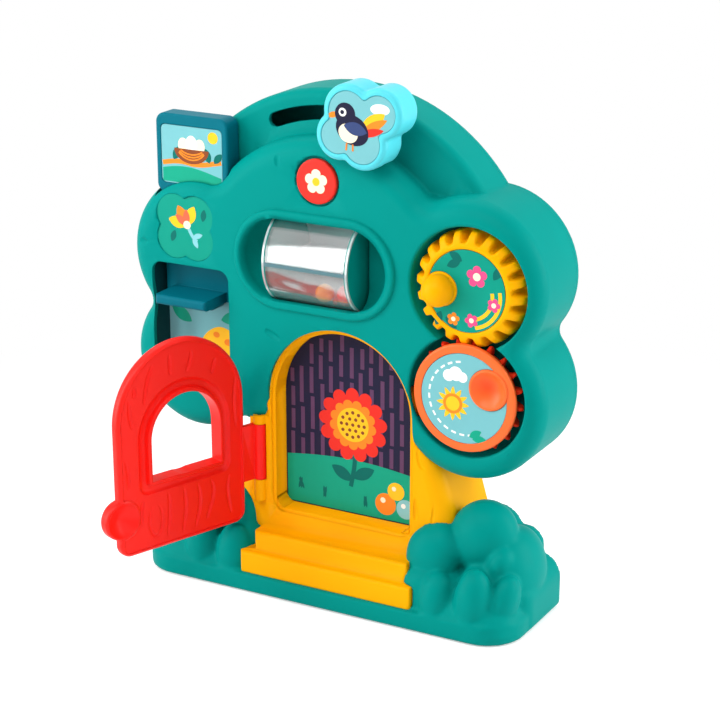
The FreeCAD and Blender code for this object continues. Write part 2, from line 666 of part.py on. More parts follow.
def step_edge(front, floor_z):
    return lambda edge: in_plane(edge, "Y", front) and not in_plane(edge, "Z", floor_z)


def upright_rod(name, x, y, z_pair, radius):
    return cylinder(name, x, y, z_pair[0], radius, z_pair[1] - z_pair[0], UPRIGHT)


def hinge_lugs():
    seat = upright_rod("hinge_seat_rod", d.hinge_x, d.hinge_y, (d.lug_bottom, d.lug_top_end),
                       d.knuckle_r + d.wall)
    reach = d.knuckle_r + 2 * d.wall
    behind = box("hinge_seat_box", (d.hinge_x - reach, d.hinge_x + reach),
                 (trunk_front, trunk_front + 2 * reach), (d.lug_bottom, d.lug_top_end))
    lower = upright_rod("hinge_lug_lower", d.hinge_x, d.hinge_y,
                        (d.lug_bottom, d.knuckle_bottom - d.fit_gap), d.knuckle_r)
    upper = upright_rod("hinge_lug_upper", d.hinge_x, d.hinge_y,
                        (d.knuckle_top + d.fit_gap, d.lug_top_end), d.knuckle_r)
    return common("hinge_seat", seat, behind), lower, upper


def trunk_outline(name, y_far):
    return fuse(name, [tower(name + "_tower", 0.0, (trunk_front, y_far), (d.base_top, d.door_spring))]
                + steps(name + "_step", 0.0, d.base_top, True))


def trunk_shell():
    seat, lower_lug, upper_lug = hinge_lugs()
    outside = fuse("trunk_outside", [trunk_outline("trunk_full", case_back), seat, lower_lug, upper_lug])
    below = cut("trunk_below_crown", outside, doc.getObject("crown_outside"))
    niche_back = trunk_front + d.niche_depth
    flange = arch_prism("door_flange", 0.0, d.door_half + d.frame_flange, d.door_spring - d.flange_drop,
                        d.door_spring, (trunk_front, trunk_front + d.flange_thick))
    niche_box = arch_prism("niche_box", 0.0, d.door_half + d.niche_wall, d.door_floor - d.wall,
                           d.door_spring, (trunk_front, niche_back + d.niche_wall))
    solid = fuse("trunk_solid", [below, flange, niche_box])
    room = fuse("trunk_room", [tower("trunk_inside", d.wall, (trunk_front + d.wall, case_back + d.wall),
                                     (d.base_top - d.wall, d.door_spring + d.wall))]
                + steps("trunk_step_room", d.wall, d.base_top - d.wall, False))
    keep = [niche_box, seat] + rods("trunk_boss", trunk_screws, d.boss_r, (trunk_front, case_back))
    hollow = cut("trunk_hollow", room, keep)
    knuckle_room = upright_rod("knuckle_room", d.hinge_x, d.hinge_y,
                               (d.knuckle_bottom - d.fit_gap, d.knuckle_top + d.fit_gap),
                               d.knuckle_r + 2 * d.fit_gap)
    pin_bore = upright_rod("pin_bore", d.hinge_x, d.hinge_y, (d.lug_bottom - PAST, d.lug_top_end + PAST),
                           d.hinge_pin_r + d.pin_gap)
    niche = arch_prism("niche", 0.0, d.door_half, d.door_floor, d.door_spring,
                       (d.step_front - PAST, niche_back))
    gear_relief = cylinder("gear_relief", d.gear_x, d.dome_front, gear_heights["lower"],
                           pocket_r + d.pocket_wall + d.fit_gap, d.case_depth)
    pilots = rods("trunk_pilot", trunk_screws, d.screw_r + d.pin_gap,
                  (case_back - d.screw_length, outer_back))
    return cut("trunk_shell", solid, [hollow, knuckle_room, pin_bore, niche, gear_relief] + pilots)


def trunk_back_cover():
    plate = tower("trunk_cover_plate", 0.0, (case_back, outer_back), (d.base_top, d.door_spring), False)
    clear = cut("trunk_cover_trimmed", plate, doc.getObject("crown_cover_outline"))
    return counterbored("trunk_back_cover", clear, trunk_screws)


def bush_lobes(name, inset, y_far):
    """Round-fronted lumps; those of the front row reach down to the ground."""
    lobes = []
    for key in BUSHES:
        x, z, radius, front = (getattr(d, f"bush_{key}_{part}") for part in ("x", "z", "r", "front"))
        near_y = front + inset
        half = radius - inset
        lobe = cylinder(f"{name}_{key}", x, near_y, z, half, y_far - near_y)
        if key in FRONT_ROW:
            stem = box(f"{name}_{key}_stem", (x - half, x + half), (near_y, y_far), (d.base_round, z))
            lobe = fuse(f"{name}_{key}_finger", [lobe, stem])
        front_round = radius * d.lump_round - inset
        lobes.append(rounded(f"{name}_{key}_round", lobe, front_round, lump_edge(near_y)))
    return lobes


def lump_edge(near_y):
    return lambda edge: in_plane(edge, "Y", near_y) and not in_plane(edge, "Z", d.base_round)


def base_block(name, inset, z_pair, with_rounding):
    block = box(name + "_block", (d.base_left + inset, d.base_right - inset),
                (d.base_front + inset, outer_back - inset), z_pair)

    def front_corner(edge):
        return along(edge, "z") and near(edge.BoundBox.YMin, d.base_front + inset)

    block = rounded(name + "_corners", block, d.base_corner - inset, front_corner)
    if with_rounding:
        block = rounded(name + "_foot", block, d.base_round, lambda edge: in_plane(edge, "Z", z_pair[0]))
    return block


def base_posts(name, radius, z_pair):
    return [upright_rod(f"{name}_{key}", x, y, z_pair, radius) for key, (x, y) in base_screws.items()]


def base_shell():
    lumps = bush_lobes("bush", 0.0, outer_back)
    heap = fuse("base_heap", lumps)
    reach = d.base_right - d.base_left
    above = box("above_ground", (d.base_left - reach, d.base_right + reach),
                (d.base_front - reach, outer_back + PAST), (d.base_round, d.dome_z))
    lumps_above = common("bushes_above", heap, above)
    solid = fuse("base_solid", [base_block("base", 0.0, (0.0, d.base_top), True), lumps_above])
    room = fuse("base_room", [base_block("base_inside", d.wall, (-d.wall, d.base_top - d.wall), False)]
                + bush_lobes("bush_inside", d.wall, outer_back - d.wall))
    room = cut("base_hollow", room, base_posts("base_boss", d.boss_r, (d.plate_thick, d.base_top)))
    trunk_space = trunk_outline("trunk_space", outer_back + PAST)
    pilots = base_posts("base_pilot", d.screw_r + d.pin_gap,
                        (d.plate_thick - PAST, d.base_screw_length + d.plate_thick))
    return cut("base_shell", solid, [room, trunk_space] + pilots)


def base_bottom_plate():
    plate = base_block("bottom_plate", d.wall + d.fit_gap, (0.0, d.plate_thick), False)
    through = base_posts("plate_through", d.screw_r + d.fit_gap, (-d.wall, d.plate_thick + PAST))
    heads = base_posts("plate_heads", d.screw_head_r + d.fit_gap, (-d.wall, d.screw_head))
    return cut("base_bottom_plate", plate, through + heads)


def screw_group(name, heads, shanks):
    return fuse(name, [fuse(f"{name}_{i}", list(pair)) for i, pair in enumerate(zip(heads, shanks))])


def case_screws():
    spots = {**crown_screws, **trunk_screws}
    heads = rods("case_head", spots, d.screw_head_r, (outer_back - d.screw_head, outer_back - d.fit_gap))
    tip = outer_back - d.screw_head
    shanks = rods("case_shank", spots, d.screw_r, (tip - d.screw_length + d.fit_gap, tip))
    return screw_group("case_screws", heads, shanks)


def base_screw_group():
    heads = base_posts("base_head", d.screw_head_r, (d.fit_gap, d.screw_head))
    shanks = base_posts("base_shank", d.screw_r, (d.screw_head, d.base_screw_length + PAST))
    return screw_group("base_screws", heads, shanks)


def doorway_label():
    back = trunk_front + d.niche_depth
    return arch_prism("doorway_label", 0.0, d.door_half - d.fit_gap, d.door_floor, d.door_spring,
                      (back - d.label_thick, back))


def door_hinge_pin():
    return upright_rod("door_hinge_pin", d.hinge_x, d.hinge_y,
                       (d.lug_bottom, d.lug_top_end - d.pin_short), d.hinge_pin_r)


def door_panel():
    """Made closed, about the hinge line, then swung open."""
    middle = -d.hinge_x
    inner, outer = -d.door_gap, -d.door_gap - d.door_thick
    half = crown_door_half - d.door_edge_gap
    leaf = arch_prism("door_leaf", middle, half, d.door_foot, d.door_spring, (outer, inner))
    leaf = rounded("door_leaf_corners", leaf, d.door_corner,
                   lambda edge: along(edge, "y") and near(edge.BoundBox.ZMin, d.door_foot))
    leaf = rounded("door_leaf_edges", leaf, d.door_round,
                   lambda edge: in_plane(edge, "Y", outer) or in_plane(edge, "Y", inner))
    pane = middle + d.window_shift
    lip = arch_prism("door_lip", pane, d.window_half + d.window_lip, d.window_sill - d.window_lip,
                     d.window_spring, (outer - d.lip_height, inner + d.lip_height))
    lip_faces = (outer - d.lip_height, inner + d.lip_height)
    lip = rounded("door_lip_edges", lip, d.lip_height - LEFT,
                  lambda edge: any(in_plane(edge, "Y", face) for face in lip_faces))
    cup_x = middle + half - d.cup_inset
    cup_front = inner + d.cup_rise
    cup = cylinder("door_cup", cup_x, outer - d.cup_rise, d.cup_z, d.cup_r, d.door_thick + 2 * d.cup_rise)
    cup = rounded("door_cup_edges", cup, d.door_round, lambda edge: edge.Curve.TypeId == "Part::GeomCircle")
    opening = d.cup_r - d.door_round
    dish_r = (opening * opening + d.cup_depth * d.cup_depth) / (2 * d.cup_depth)
    dish = ball("door_cup_dish", cup_x, cup_front + dish_r - d.cup_depth, d.cup_z, dish_r)
    knuckle = upright_rod("door_knuckle", 0.0, 0.0, (d.knuckle_bottom, d.knuckle_top), d.knuckle_r)
    strap = box("door_strap", (0.0, middle - half + d.wall), (-d.knuckle_r, -d.strap_gap),
                (d.knuckle_bottom, d.knuckle_top))
    solid = fuse("door_solid", [leaf, lip, cup, knuckle, strap])
    window = arch_prism("door_window", pane, d.window_half, d.window_sill, d.window_spring,
                        (outer - 2 * d.door_thick, inner + 2 * d.door_thick))
    bore = upright_rod("door_bore", 0.0, 0.0, (d.knuckle_bottom - PAST, d.knuckle_top + PAST),
                       d.hinge_pin_r + d.pin_gap)
    door = cut("door_panel", solid, [window, bore, dish])
    swing = FreeCAD.Rotation(FreeCAD.Vector(0, 0, 1), -number_of(d.door_open))
    return place(door, d.hinge_x, d.hinge_y, 0.0, swing)


def card_box(name, half, y_pair, z_pair, corner):
    block = box(name + "_block", (d.slider_x - half, d.slider_x + half), y_pair, z_pair)
    return rounded(name, block, corner, is_along_y)


card_back = d.card_front + d.card_thick
card_top = d.card_bottom + d.card_height


def card_picture(name, margin, y_pair):
    side, head = d.card_side - margin, d.card_head - margin
    return card_box(name, d.card_half - side, y_pair, (d.card_bottom + head, card_top - head),
                    d.picture_corner)


def slider_card():
    card = card_box("card", d.card_half, (d.card_front, card_back), (d.card_bottom, card_top), d.card_corner)
    card = rounded("card_edges", card, d.card_round,
                   lambda edge: in_plane(edge, "Y", d.card_front) or in_plane(edge, "Y", card_back))
    plate_back = d.plate_front + d.plate_web
    web = box("slider_web", (d.slider_x - d.plate_half, d.slider_x + d.plate_half),
              (d.plate_front, plate_back), (d.plate_bottom, d.card_bottom + d.card_corner))
    tab = box("slider_tab", (d.slider_x - d.tab_half, d.slider_x + d.tab_half), (d.tab_front, plate_back),
              (d.plate_bottom, d.plate_bottom + d.tab_thick))
    tab = rounded("slider_tab_round", tab, d.tab_round, lambda edge: in_plane(edge, "Y", d.tab_front))
    skirt = box("slider_skirt", (d.slider_x - d.skirt_half, d.slider_x + d.skirt_half),
                (d.skirt_front, plate_back), (d.plate_bottom - d.skirt_drop, d.plate_bottom))
    skirt = rounded("slider_skirt_round", skirt, d.skirt_drop - LEFT,
                    lambda edge: in_plane(edge, "Z", d.plate_bottom - d.skirt_drop) and not along(edge, "x"))
    recess = card_picture("card_recess", 0.0, (d.card_front - PAST, d.card_front + d.label_thick))
    return cut("slider_card", fuse("slider_solid", [card, web, tab, skirt]), recess)


def slider_label():
    y_pair = (d.card_front + d.label_sunk, d.card_front + d.label_thick)
    return card_picture("slider_label", -d.fit_gap, y_pair)


def slider_guide():
    """Channel behind the window: two grooved sides, a low back that carries the picture, a high back."""
    half = d.window_x_half + d.guide_wall
    x_pair = (d.slider_x - half, d.slider_x + half)
    inner_pair = (d.slider_x - d.window_x_half, d.slider_x + d.window_x_half)
    view_back = d.dome_front + d.view_depth + d.label_thick
    card_clear = card_back + 2 * d.fit_gap
    low, high = d.view_bottom - d.guide_wall, d.card_bottom - d.guide_short
    split = d.view_top - d.picture_gap
    deep = card_clear + d.guide_wall
    block = box("guide_block", x_pair, (trunk_front, deep), (low, high))
    low_room = box("guide_low_room", inner_pair, (trunk_front - PAST, view_back),
                   (d.view_bottom, split + PAST))
    high_room = box("guide_high_room", (d.slider_x - d.card_half - 2 * d.fit_gap,
                                        d.slider_x + d.card_half + 2 * d.fit_gap),
                    (trunk_front - PAST, card_clear), (split, high + PAST))
    groove_half = d.plate_half + d.fit_gap
    grooves = box("guide_grooves", (d.slider_x - groove_half, d.slider_x + groove_half),
                  (d.plate_front - d.fit_gap, d.plate_front + d.plate_web + d.fit_gap),
                  (split - PAST, high + PAST))
    raw = cut("guide_raw", block, [low_room, high_room, grooves])
    return common("slider_guide", raw, doc.getObject("crown_inside"))


def window_label():
    front = d.dome_front + d.view_depth
    picture = box("window_picture", (d.slider_x - d.window_x_half, d.slider_x + d.window_x_half),
                  (front, front + d.label_thick), (d.view_bottom, d.view_top - d.picture_gap))
    return common("window_label", picture, doc.getObject("crown_inside"))


def leaf_label():
    floor_y = d.dome_front + d.leaf_depth
    return leaf_outline("leaf_label", (floor_y - d.leaf_label_thick, floor_y), d.fit_gap)


def badge_disc():
    floor_y = d.dome_front + d.badge_depth
    disc = cylinder("badge", d.badge_x, floor_y - d.badge_thick, d.badge_z, d.badge_r, d.badge_thick)
    return rounded("badge_disc", disc, d.badge_round, is_arc_in_front(floor_y - d.badge_thick))


def along_drum(name, x_pair, radius):
    return cylinder(name, d.drum_x + x_pair[0], d.drum_y, d.drum_z, radius, x_pair[1] - x_pair[0], ALONG_X)


drum_half_length = d.drum_length / 2
drum_inside = drum_half_length - d.drum_end_wall


def drum_half(name, upper):
    tube = cut(name + "_tube", along_drum(name + "_out", (-drum_inside, drum_inside), d.drum_r),
               along_drum(name + "_in", (-drum_inside - PAST, drum_inside + PAST), d.drum_r - d.drum_wall))
    reach = d.drum_r + PAST
    z_pair = (d.drum_z, d.drum_z + reach) if upper else (d.drum_z - reach, d.drum_z)
    side = box(name + "_side", (d.drum_x - d.drum_length, d.drum_x + d.drum_length),
               (d.drum_y - reach, d.drum_y + reach), z_pair)
    return common(name, tube, side)


def drum_end(name, x_pair):
    disc = along_drum(name + "_disc", x_pair, d.drum_r)
    bore = along_drum(name + "_bore", (x_pair[0] - PAST, x_pair[1] + PAST), d.drum_axle_r + d.pin_gap)
    return cut(name, disc, bore)


def drum_axle():
    reach = drum_half_length + d.drum_side_gap + d.wall
    return along_drum("drum_axle", (-reach, reach), d.drum_axle_r)


def drum_backing():
    """Pale curved panel behind the beads, carried on the axle by a flat web."""
    half = drum_inside - 2 * d.fit_gap
    panel = cut("backing_tube", along_drum("backing_out", (-half, half), d.backing_r),
                along_drum("backing_in", (-half - PAST, half + PAST), d.backing_r - d.drum_wall))
    behind = box("backing_side", (d.drum_x - half, d.drum_x + half),
                 (d.drum_y - d.backing_front, d.drum_y + d.drum_r),
                 (d.drum_z - d.backing_r / 2, d.drum_z + d.drum_r))
    web = box("backing_web", (d.drum_x - half, d.drum_x + half),
              (d.drum_y, d.drum_y + d.backing_r - d.web_half),
              (d.drum_z - d.web_half, d.drum_z + d.web_half))
    sleeve = along_drum("backing_sleeve", (-half, half), d.drum_axle_r + d.sleeve_wall)
    solid = fuse("backing_solid", [common("backing_panel", panel, behind), web, sleeve])
    bore = along_drum("backing_bore", (-half - PAST, half + PAST), d.drum_axle_r + d.pin_gap)
    return cut("drum_backing", solid, bore)


def bead(name, key):
    x, angle, radius = (getattr(d, f"bead_{key}_{part}") for part in ("x", "angle", "r"))
    turn = math.radians(number_of(angle))
    reach = d.drum_r - d.drum_wall - d.fit_gap - radius
    sine = Size(math.sin(turn), f"sin({angle.text} * 1 deg)")
    cosine = Size(math.cos(turn), f"cos({angle.text} * 1 deg)")
    return ball(name, x, d.drum_y - reach * sine, d.drum_z - reach * cosine, radius)


def toothed_disc(name, y_pair):
    """Root disc with one tooth copied round it, about the origin's Y axis."""
    body = doc.addObject("PartDesign::Body", name)
    depth = y_pair[1] - y_pair[0]
    disc_sketch = sketch_on(body, name + "_root", "XZ_Plane", -y_pair[1])
    root = Part.Circle(FreeCAD.Vector(0, 0, 0), FreeCAD.Vector(0, 0, 1), number_of(d.gear_root))
    disc_sketch.addGeometry(root)
    disc_sketch.addConstraint(Sketcher.Constraint("Coincident", 0, 3, -1, 1))
    index = disc_sketch.addConstraint(Sketcher.Constraint("Radius", 0, number_of(d.gear_root)))
    disc_sketch.setExpression(f"Constraints[{index}]", d.gear_root.text)
    pad(body, disc_sketch, depth, name + "_root_pad")
    tooth_sketch = sketch_on(body, name + "_tooth", "XZ_Plane", -y_pair[1])
    at_pitch = d.gear_module * (math.pi / 4) - d.backlash / 2
    at_tip = at_pitch - (d.gear_tip - gear_pitch) * d.tooth_lean_out
    at_root = at_pitch + (gear_pitch - d.gear_root) * d.tooth_lean_in
    foot = d.gear_root - d.tooth_foot
    polygon(tooth_sketch, [(-at_root, foot), (-at_pitch, gear_pitch), (-at_tip, d.gear_tip),
                           (at_tip, d.gear_tip), (at_pitch, gear_pitch), (at_root, foot)])
    tooth = pad(body, tooth_sketch, depth, name + "_tooth_pad")
    doc.recompute()
    pattern = body.newObject("PartDesign::PolarPattern", name + "_teeth")
    pattern.Originals = [tooth]
    pattern.Axis = (origin_plane(body, "Y_Axis"), [""])
    pattern.Angle = 360
    bind(pattern, "Occurrences", d.gear_teeth)
    body.Tip = pattern
    return body


def centred_rod(name, radius, y_pair, x=0.0, z=0.0):
    return cylinder(name, x, y_pair[0], z, radius, y_pair[1] - y_pair[0])


def gear_bore(name):
    y_pair = (d.wheel_front - 2 * d.axle_end, d.pocket_floor + PAST)
    return centred_rod(name, d.gear_axle_r + d.pin_gap, y_pair)


knob_x = -d.knob_shift


def upper_gear():
    gear_back = d.gear_back
    teeth = toothed_disc("upper_teeth", (d.gear_face, gear_back))
    slope_back = d.gear_face + d.gear_slope
    envelope = fuse("upper_envelope", [
        cone("upper_slope", 0.0, d.gear_face, 0.0, d.gear_ring, d.gear_tip + PAST, d.gear_slope),
        centred_rod("upper_rim", d.gear_tip + PAST, (slope_back, gear_back))])
    ring = common("upper_ring", teeth, envelope)
    hub = centred_rod("upper_hub", d.gear_hub_r, (gear_back, d.pocket_floor - d.fit_gap))
    knob = ball("upper_knob", knob_x, d.gear_face - d.knob_rise, 0.0, d.knob_r)
    room = centred_rod("upper_label_room", d.upper_label_r + d.fit_gap,
                       (d.gear_face - PAST, d.gear_face + d.label_thick))
    dished = cut("upper_dished", fuse("upper_blank", [ring, hub]), room)
    gear = cut("upper_gear", fuse("upper_with_knob", [dished, knob]), gear_bore("upper_bore"))
    return place(gear, d.gear_x, 0.0, gear_heights["upper"])


def upper_gear_label():
    disc = centred_rod("upper_label_disc", d.upper_label_r,
                       (d.gear_face + d.label_sunk, d.gear_face + d.label_thick))
    hole = ball("upper_label_hole", knob_x, d.gear_face - d.knob_rise, 0.0, d.knob_r + d.fit_gap)
    return place(cut("upper_gear_label", disc, hole), d.gear_x, 0.0, gear_heights["upper"])


def lower_gear_wheel():
    wheel_back = d.wheel_front + d.wheel_thick
    teeth = toothed_disc("lower_teeth", (d.wheel_front, wheel_back))
    hub = centred_rod("lower_hub", d.gear_hub_r, (wheel_back, d.pocket_floor - d.fit_gap))
    wheel = cut("lower_gear_wheel", fuse("lower_blank", [teeth, hub]), gear_bore("lower_bore"))
    half_tooth = math.degrees(math.pi / number_of(d.gear_teeth))
    turn = FreeCAD.Rotation(FreeCAD.Vector(0, 1, 0), half_tooth)
    return place(wheel, d.gear_x, 0.0, gear_heights["lower"], turn)


def lower_gear_disc():
    disc_back = d.disc_face + d.disc_thick
    disc = rounded("lower_disc_round", centred_rod("lower_disc", d.disc_r, (d.disc_face, disc_back)),
                   d.disc_round, is_arc_in_front(d.disc_face))
    spacer = centred_rod("lower_spacer", d.spacer_r, (disc_back, d.wheel_front))
    room = centred_rod("lower_label_room", d.lower_label_r + d.fit_gap,
                       (d.disc_face - PAST, d.disc_face + d.label_thick))
    rim_front = d.disc_face - d.dimple_rise
    rim = rounded("dimple_rim_round",
                  centred_rod("dimple_rim", d.dimple_r, (rim_front, disc_back), d.dimple_x, d.dimple_z),
                  d.dimple_round, is_arc_in_front(rim_front))
    opening = d.dimple_r - d.dimple_rim
    dish_r = (opening * opening + d.dimple_depth * d.dimple_depth) / (2 * d.dimple_depth)
    dish = ball("dimple_dish", d.dimple_x, rim_front - dish_r + d.dimple_depth, d.dimple_z, dish_r)
    plain = cut("lower_plain", fuse("lower_disc_solid", [disc, spacer]), room)
    piece = cut("lower_gear_disc", fuse("lower_with_rim", [plain, rim]), [dish, gear_bore("disc_bore")])
    return place(piece, d.gear_x, 0.0, gear_heights["lower"])


def lower_gear_label():
    disc = centred_rod("lower_label_disc", d.lower_label_r,
                       (d.disc_face + d.label_sunk, d.disc_face + d.label_thick))
    hole = centred_rod("lower_label_hole", d.dimple_r + d.fit_gap,
                       (d.disc_face - PAST, d.disc_face + d.disc_thick),
                       d.dimple_x, d.dimple_z)
    return place(cut("lower_gear_label", disc, hole), d.gear_x, 0.0, gear_heights["lower"])


def gear_axle(name, key):
    front = d.wheel_front - d.axle_end
    return cylinder(name, d.gear_x, front, gear_heights[key], d.gear_axle_r,
                    d.pocket_floor + d.axle_hold - front)


def bird_lobes(inset):
    return [(getattr(d, f"bird_{key}_x"), getattr(d, f"bird_{key}_z"), getattr(d, f"bird_{key}_r") - inset)
            for key in BIRD]


bird_back = d.bird_front + d.bird_thick


def bird_body():
    slab = lobed_ring("bird_slab", bird_lobes(0.0), (d.bird_front, bird_back), d.bird_round, d.bird_round)
    relief = cylinder("bird_relief", track_x, d.dome_front - d.bird_clear, track_z,
                      d.dome_r + d.bird_clear, d.case_depth)
    picture = lobed_ring("bird_recess", bird_lobes(d.bird_rim),
                         (d.bird_front - PAST, d.bird_front + d.label_thick), d.bird_round, 0)
    return cut("bird_body", slab, [relief, picture])


def bird_label():
    return lobed_ring("bird_label", bird_lobes(d.bird_rim + d.fit_gap),
                      (d.bird_front + d.label_sunk, d.bird_front + d.label_thick), d.bird_round, 0)


def at_stem():
    turn = math.radians(number_of(d.bird_angle))
    sine = Size(math.sin(turn), f"sin({d.bird_angle.text} * 1 deg)")
    cosine = Size(math.cos(turn), f"cos({d.bird_angle.text} * 1 deg)")
    return track_x + track_r * sine, track_z + track_r * cosine


def bird_stem():
    x, z = at_stem()
    return cylinder("bird_stem", x, bird_back, z, d.stem_r, arch_front + d.wall + 2 * d.fit_gap - bird_back)


def bird_retainer():
    x, z = at_stem()
    return cylinder("bird_retainer", x, arch_front + d.wall + 2 * d.fit_gap, z, d.slot_half * 2, d.wall)


nodes = {
    "crown_shell": crown_shell(),
    "crown_back_cover": crown_back_cover(),
    "trunk_shell": trunk_shell(),
    "trunk_back_cover": trunk_back_cover(),
    "base_shell": base_shell(),
    "base_bottom_plate": base_bottom_plate(),
    "case_screws": case_screws(),
    "base_screws": base_screw_group(),
    "doorway_label": doorway_label(),
    "door_hinge_pin": door_hinge_pin(),
    "door_panel": door_panel(),
    "slider_guide": slider_guide(),
    "window_label": window_label(),
    "slider_card": slider_card(),
    "slider_label": slider_label(),
    "leaf_label": leaf_label(),
    "badge_disc": badge_disc(),
    "drum_axle": drum_axle(),
    "drum_backing": drum_backing(),
    "drum_half_upper": drum_half("drum_half_upper", True),
    "drum_half_lower": drum_half("drum_half_lower", False),
    "drum_end_left": drum_end("drum_end_left", (-drum_half_length, -drum_inside)),
    "drum_end_right": drum_end("drum_end_right", (drum_inside, drum_half_length)),
    "bead_orange": bead("bead_orange", "orange"),
    "bead_yellow": bead("bead_yellow", "yellow"),
    "bead_red": bead("bead_red", "red"),
    "bead_small_yellow": bead("bead_small_yellow", "small_yellow"),
    "bead_small_red": bead("bead_small_red", "small_red"),
    "upper_gear_axle": gear_axle("upper_gear_axle", "upper"),
    "lower_gear_axle": gear_axle("lower_gear_axle", "lower"),
    "upper_gear": upper_gear(),
    "upper_gear_label": upper_gear_label(),
    "lower_gear_wheel": lower_gear_wheel(),
    "lower_gear_disc": lower_gear_disc(),
    "lower_gear_label": lower_gear_label(),
    "bird_body": bird_body(),
    "bird_label": bird_label(),
    "bird_stem": bird_stem(),
    "bird_retainer": bird_retainer(),
}

doc.recompute()
for label, piece in nodes.items():
    piece.Label = label
broken = [thing.Name for thing in doc.Objects if {"Invalid", "Error"} & set(thing.State)]
for label, piece in nodes.items():
    if piece.Shape.isNull() or not piece.Shape.isValid():
        broken.append(label)
if broken:
    raise RuntimeError("failed: " + ", ".join(broken))

os.makedirs("parts", exist_ok=True)
for label, piece in nodes.items():
    piece.Shape.exportStep(f"parts/{label}.step")
    print(label, len(piece.Shape.Solids), round(piece.Shape.Volume / 1000.0, 2), "cm3")
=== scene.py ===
import json
import bmesh
import bpy
import numpy as np
from mathutils import Matrix, Vector
from mathutils.geometry import tessellate_polygon

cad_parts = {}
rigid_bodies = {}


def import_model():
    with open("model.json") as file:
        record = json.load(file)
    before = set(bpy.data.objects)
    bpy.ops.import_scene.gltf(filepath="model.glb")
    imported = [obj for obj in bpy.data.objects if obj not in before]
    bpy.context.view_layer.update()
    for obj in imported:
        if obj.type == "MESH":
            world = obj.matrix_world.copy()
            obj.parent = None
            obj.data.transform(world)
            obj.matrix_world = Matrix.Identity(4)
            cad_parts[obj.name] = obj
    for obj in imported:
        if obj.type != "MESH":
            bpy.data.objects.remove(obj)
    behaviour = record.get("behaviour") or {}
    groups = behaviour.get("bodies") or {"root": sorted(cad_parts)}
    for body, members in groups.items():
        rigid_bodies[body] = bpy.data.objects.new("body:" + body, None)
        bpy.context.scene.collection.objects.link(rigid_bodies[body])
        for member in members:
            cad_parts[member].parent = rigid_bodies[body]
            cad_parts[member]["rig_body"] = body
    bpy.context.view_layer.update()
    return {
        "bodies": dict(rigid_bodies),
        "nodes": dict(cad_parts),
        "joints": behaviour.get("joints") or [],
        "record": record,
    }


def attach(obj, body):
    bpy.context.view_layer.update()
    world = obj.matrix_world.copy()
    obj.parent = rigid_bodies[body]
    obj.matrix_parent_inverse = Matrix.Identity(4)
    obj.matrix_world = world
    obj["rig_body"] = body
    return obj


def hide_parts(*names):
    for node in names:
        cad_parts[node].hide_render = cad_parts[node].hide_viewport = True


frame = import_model()
nodes = frame["nodes"]
mm = 0.001
print("frame loaded:", len(nodes), "nodes")


# colour and material
def linear(hexColour):
    # Screen colour as #RRGGBB, turned into the linear colour a shader works in.
    parts = np.array([int(hexColour[i:i + 2], 16) for i in (1, 3, 5)]) / 255.0
    return tuple(np.where(parts <= 0.04045, parts / 12.92, ((parts + 0.055) / 1.055) ** 2.4)) + (1.0,)


def newMaterial(name):
    material = bpy.data.materials.new(name)
    material.use_nodes = True
    tree = material.node_tree
    return material, tree, tree.nodes["Principled BSDF"]


def addNode(tree, kind, **settings):
    node = tree.nodes.new(kind)
    for key, value in settings.items():
        if key in node.inputs.keys():
            node.inputs[key].default_value = value
        else:
            setattr(node, key, value)
    return node


def setSockets(node, values):
    for name, value in values.items():
        node.inputs[name].default_value = value


def mixedColour(tree, factor, first, second):
    mix = addNode(tree, "ShaderNodeMix", data_type="RGBA")
    tree.links.new(factor, mix.inputs["Factor"])
    for socket, colour in (("A", first), ("B", second)):
        target = [s for s in mix.inputs if s.name == socket and s.type == "RGBA"][0]
        if isinstance(colour, tuple):
            target.default_value = colour
        else:
            tree.links.new(colour, target)
    return [s for s in mix.outputs if s.type == "RGBA"][0]


def mixedShader(tree, factor, first, second):
    mix = addNode(tree, "ShaderNodeMixShader")
    tree.links.new(factor, mix.inputs["Fac"])
    tree.links.new(first, mix.inputs[1])
    tree.links.new(second, mix.inputs[2])
    return mix.outputs["Shader"]


def cloudOf(tree, scale, detail):
    # Noise between 0 and 1 on the piece's own coordinates.
    place = addNode(tree, "ShaderNodeTexCoord")
    cloud = addNode(tree, "ShaderNodeTexNoise", Scale=scale, Detail=detail)
    tree.links.new(place.outputs["Object"], cloud.inputs["Vector"])
    return cloud.outputs["Fac"]


def spread(tree, value, low, high):
    # A value between 0 and 1 carried over to the span from low to high.
    span = addNode(tree, "ShaderNodeMapRange")
    setSockets(span, {"To Min": low, "To Max": high})
    tree.links.new(value, span.inputs["Value"])
    return span.outputs["Result"]


def shadesOf(hexColour, shift):
    # The colour a share darker and the same share lighter.
    base = np.array(linear(hexColour))[:3]
    darker, lighter = base * (1 - shift), np.minimum(base * (1 + shift), 1.0)
    return tuple(np.append(darker, 1.0)), tuple(np.append(lighter, 1.0))


def paintedShadeColour(tree, colour, shadeSpot):
    # Painted shade: a second, deeper colour that fades out over its radius from the line through (x, z)
    # along the depth.
    (x, z), radius, hexColour = shadeSpot
    place = addNode(tree, "ShaderNodeTexCoord")
    squash = addNode(tree, "ShaderNodeVectorMath", operation="MULTIPLY_ADD")
    tree.links.new(place.outputs["Object"], squash.inputs[0])
    squash.inputs[1].default_value = (1.0, 0.0, 1.0)
    squash.inputs[2].default_value = (-x * mm, 0.0, -z * mm)
    away = addNode(tree, "ShaderNodeVectorMath", operation="LENGTH")
    tree.links.new(squash.outputs["Vector"], away.inputs[0])
    fade = addNode(tree, "ShaderNodeMapRange", interpolation_type="SMOOTHSTEP")
    fade.inputs["From Max"].default_value = radius * mm
    tree.links.new(away.outputs["Value"], fade.inputs["Value"])
    return mixedColour(tree, fade.outputs["Result"], linear(hexColour), colour)


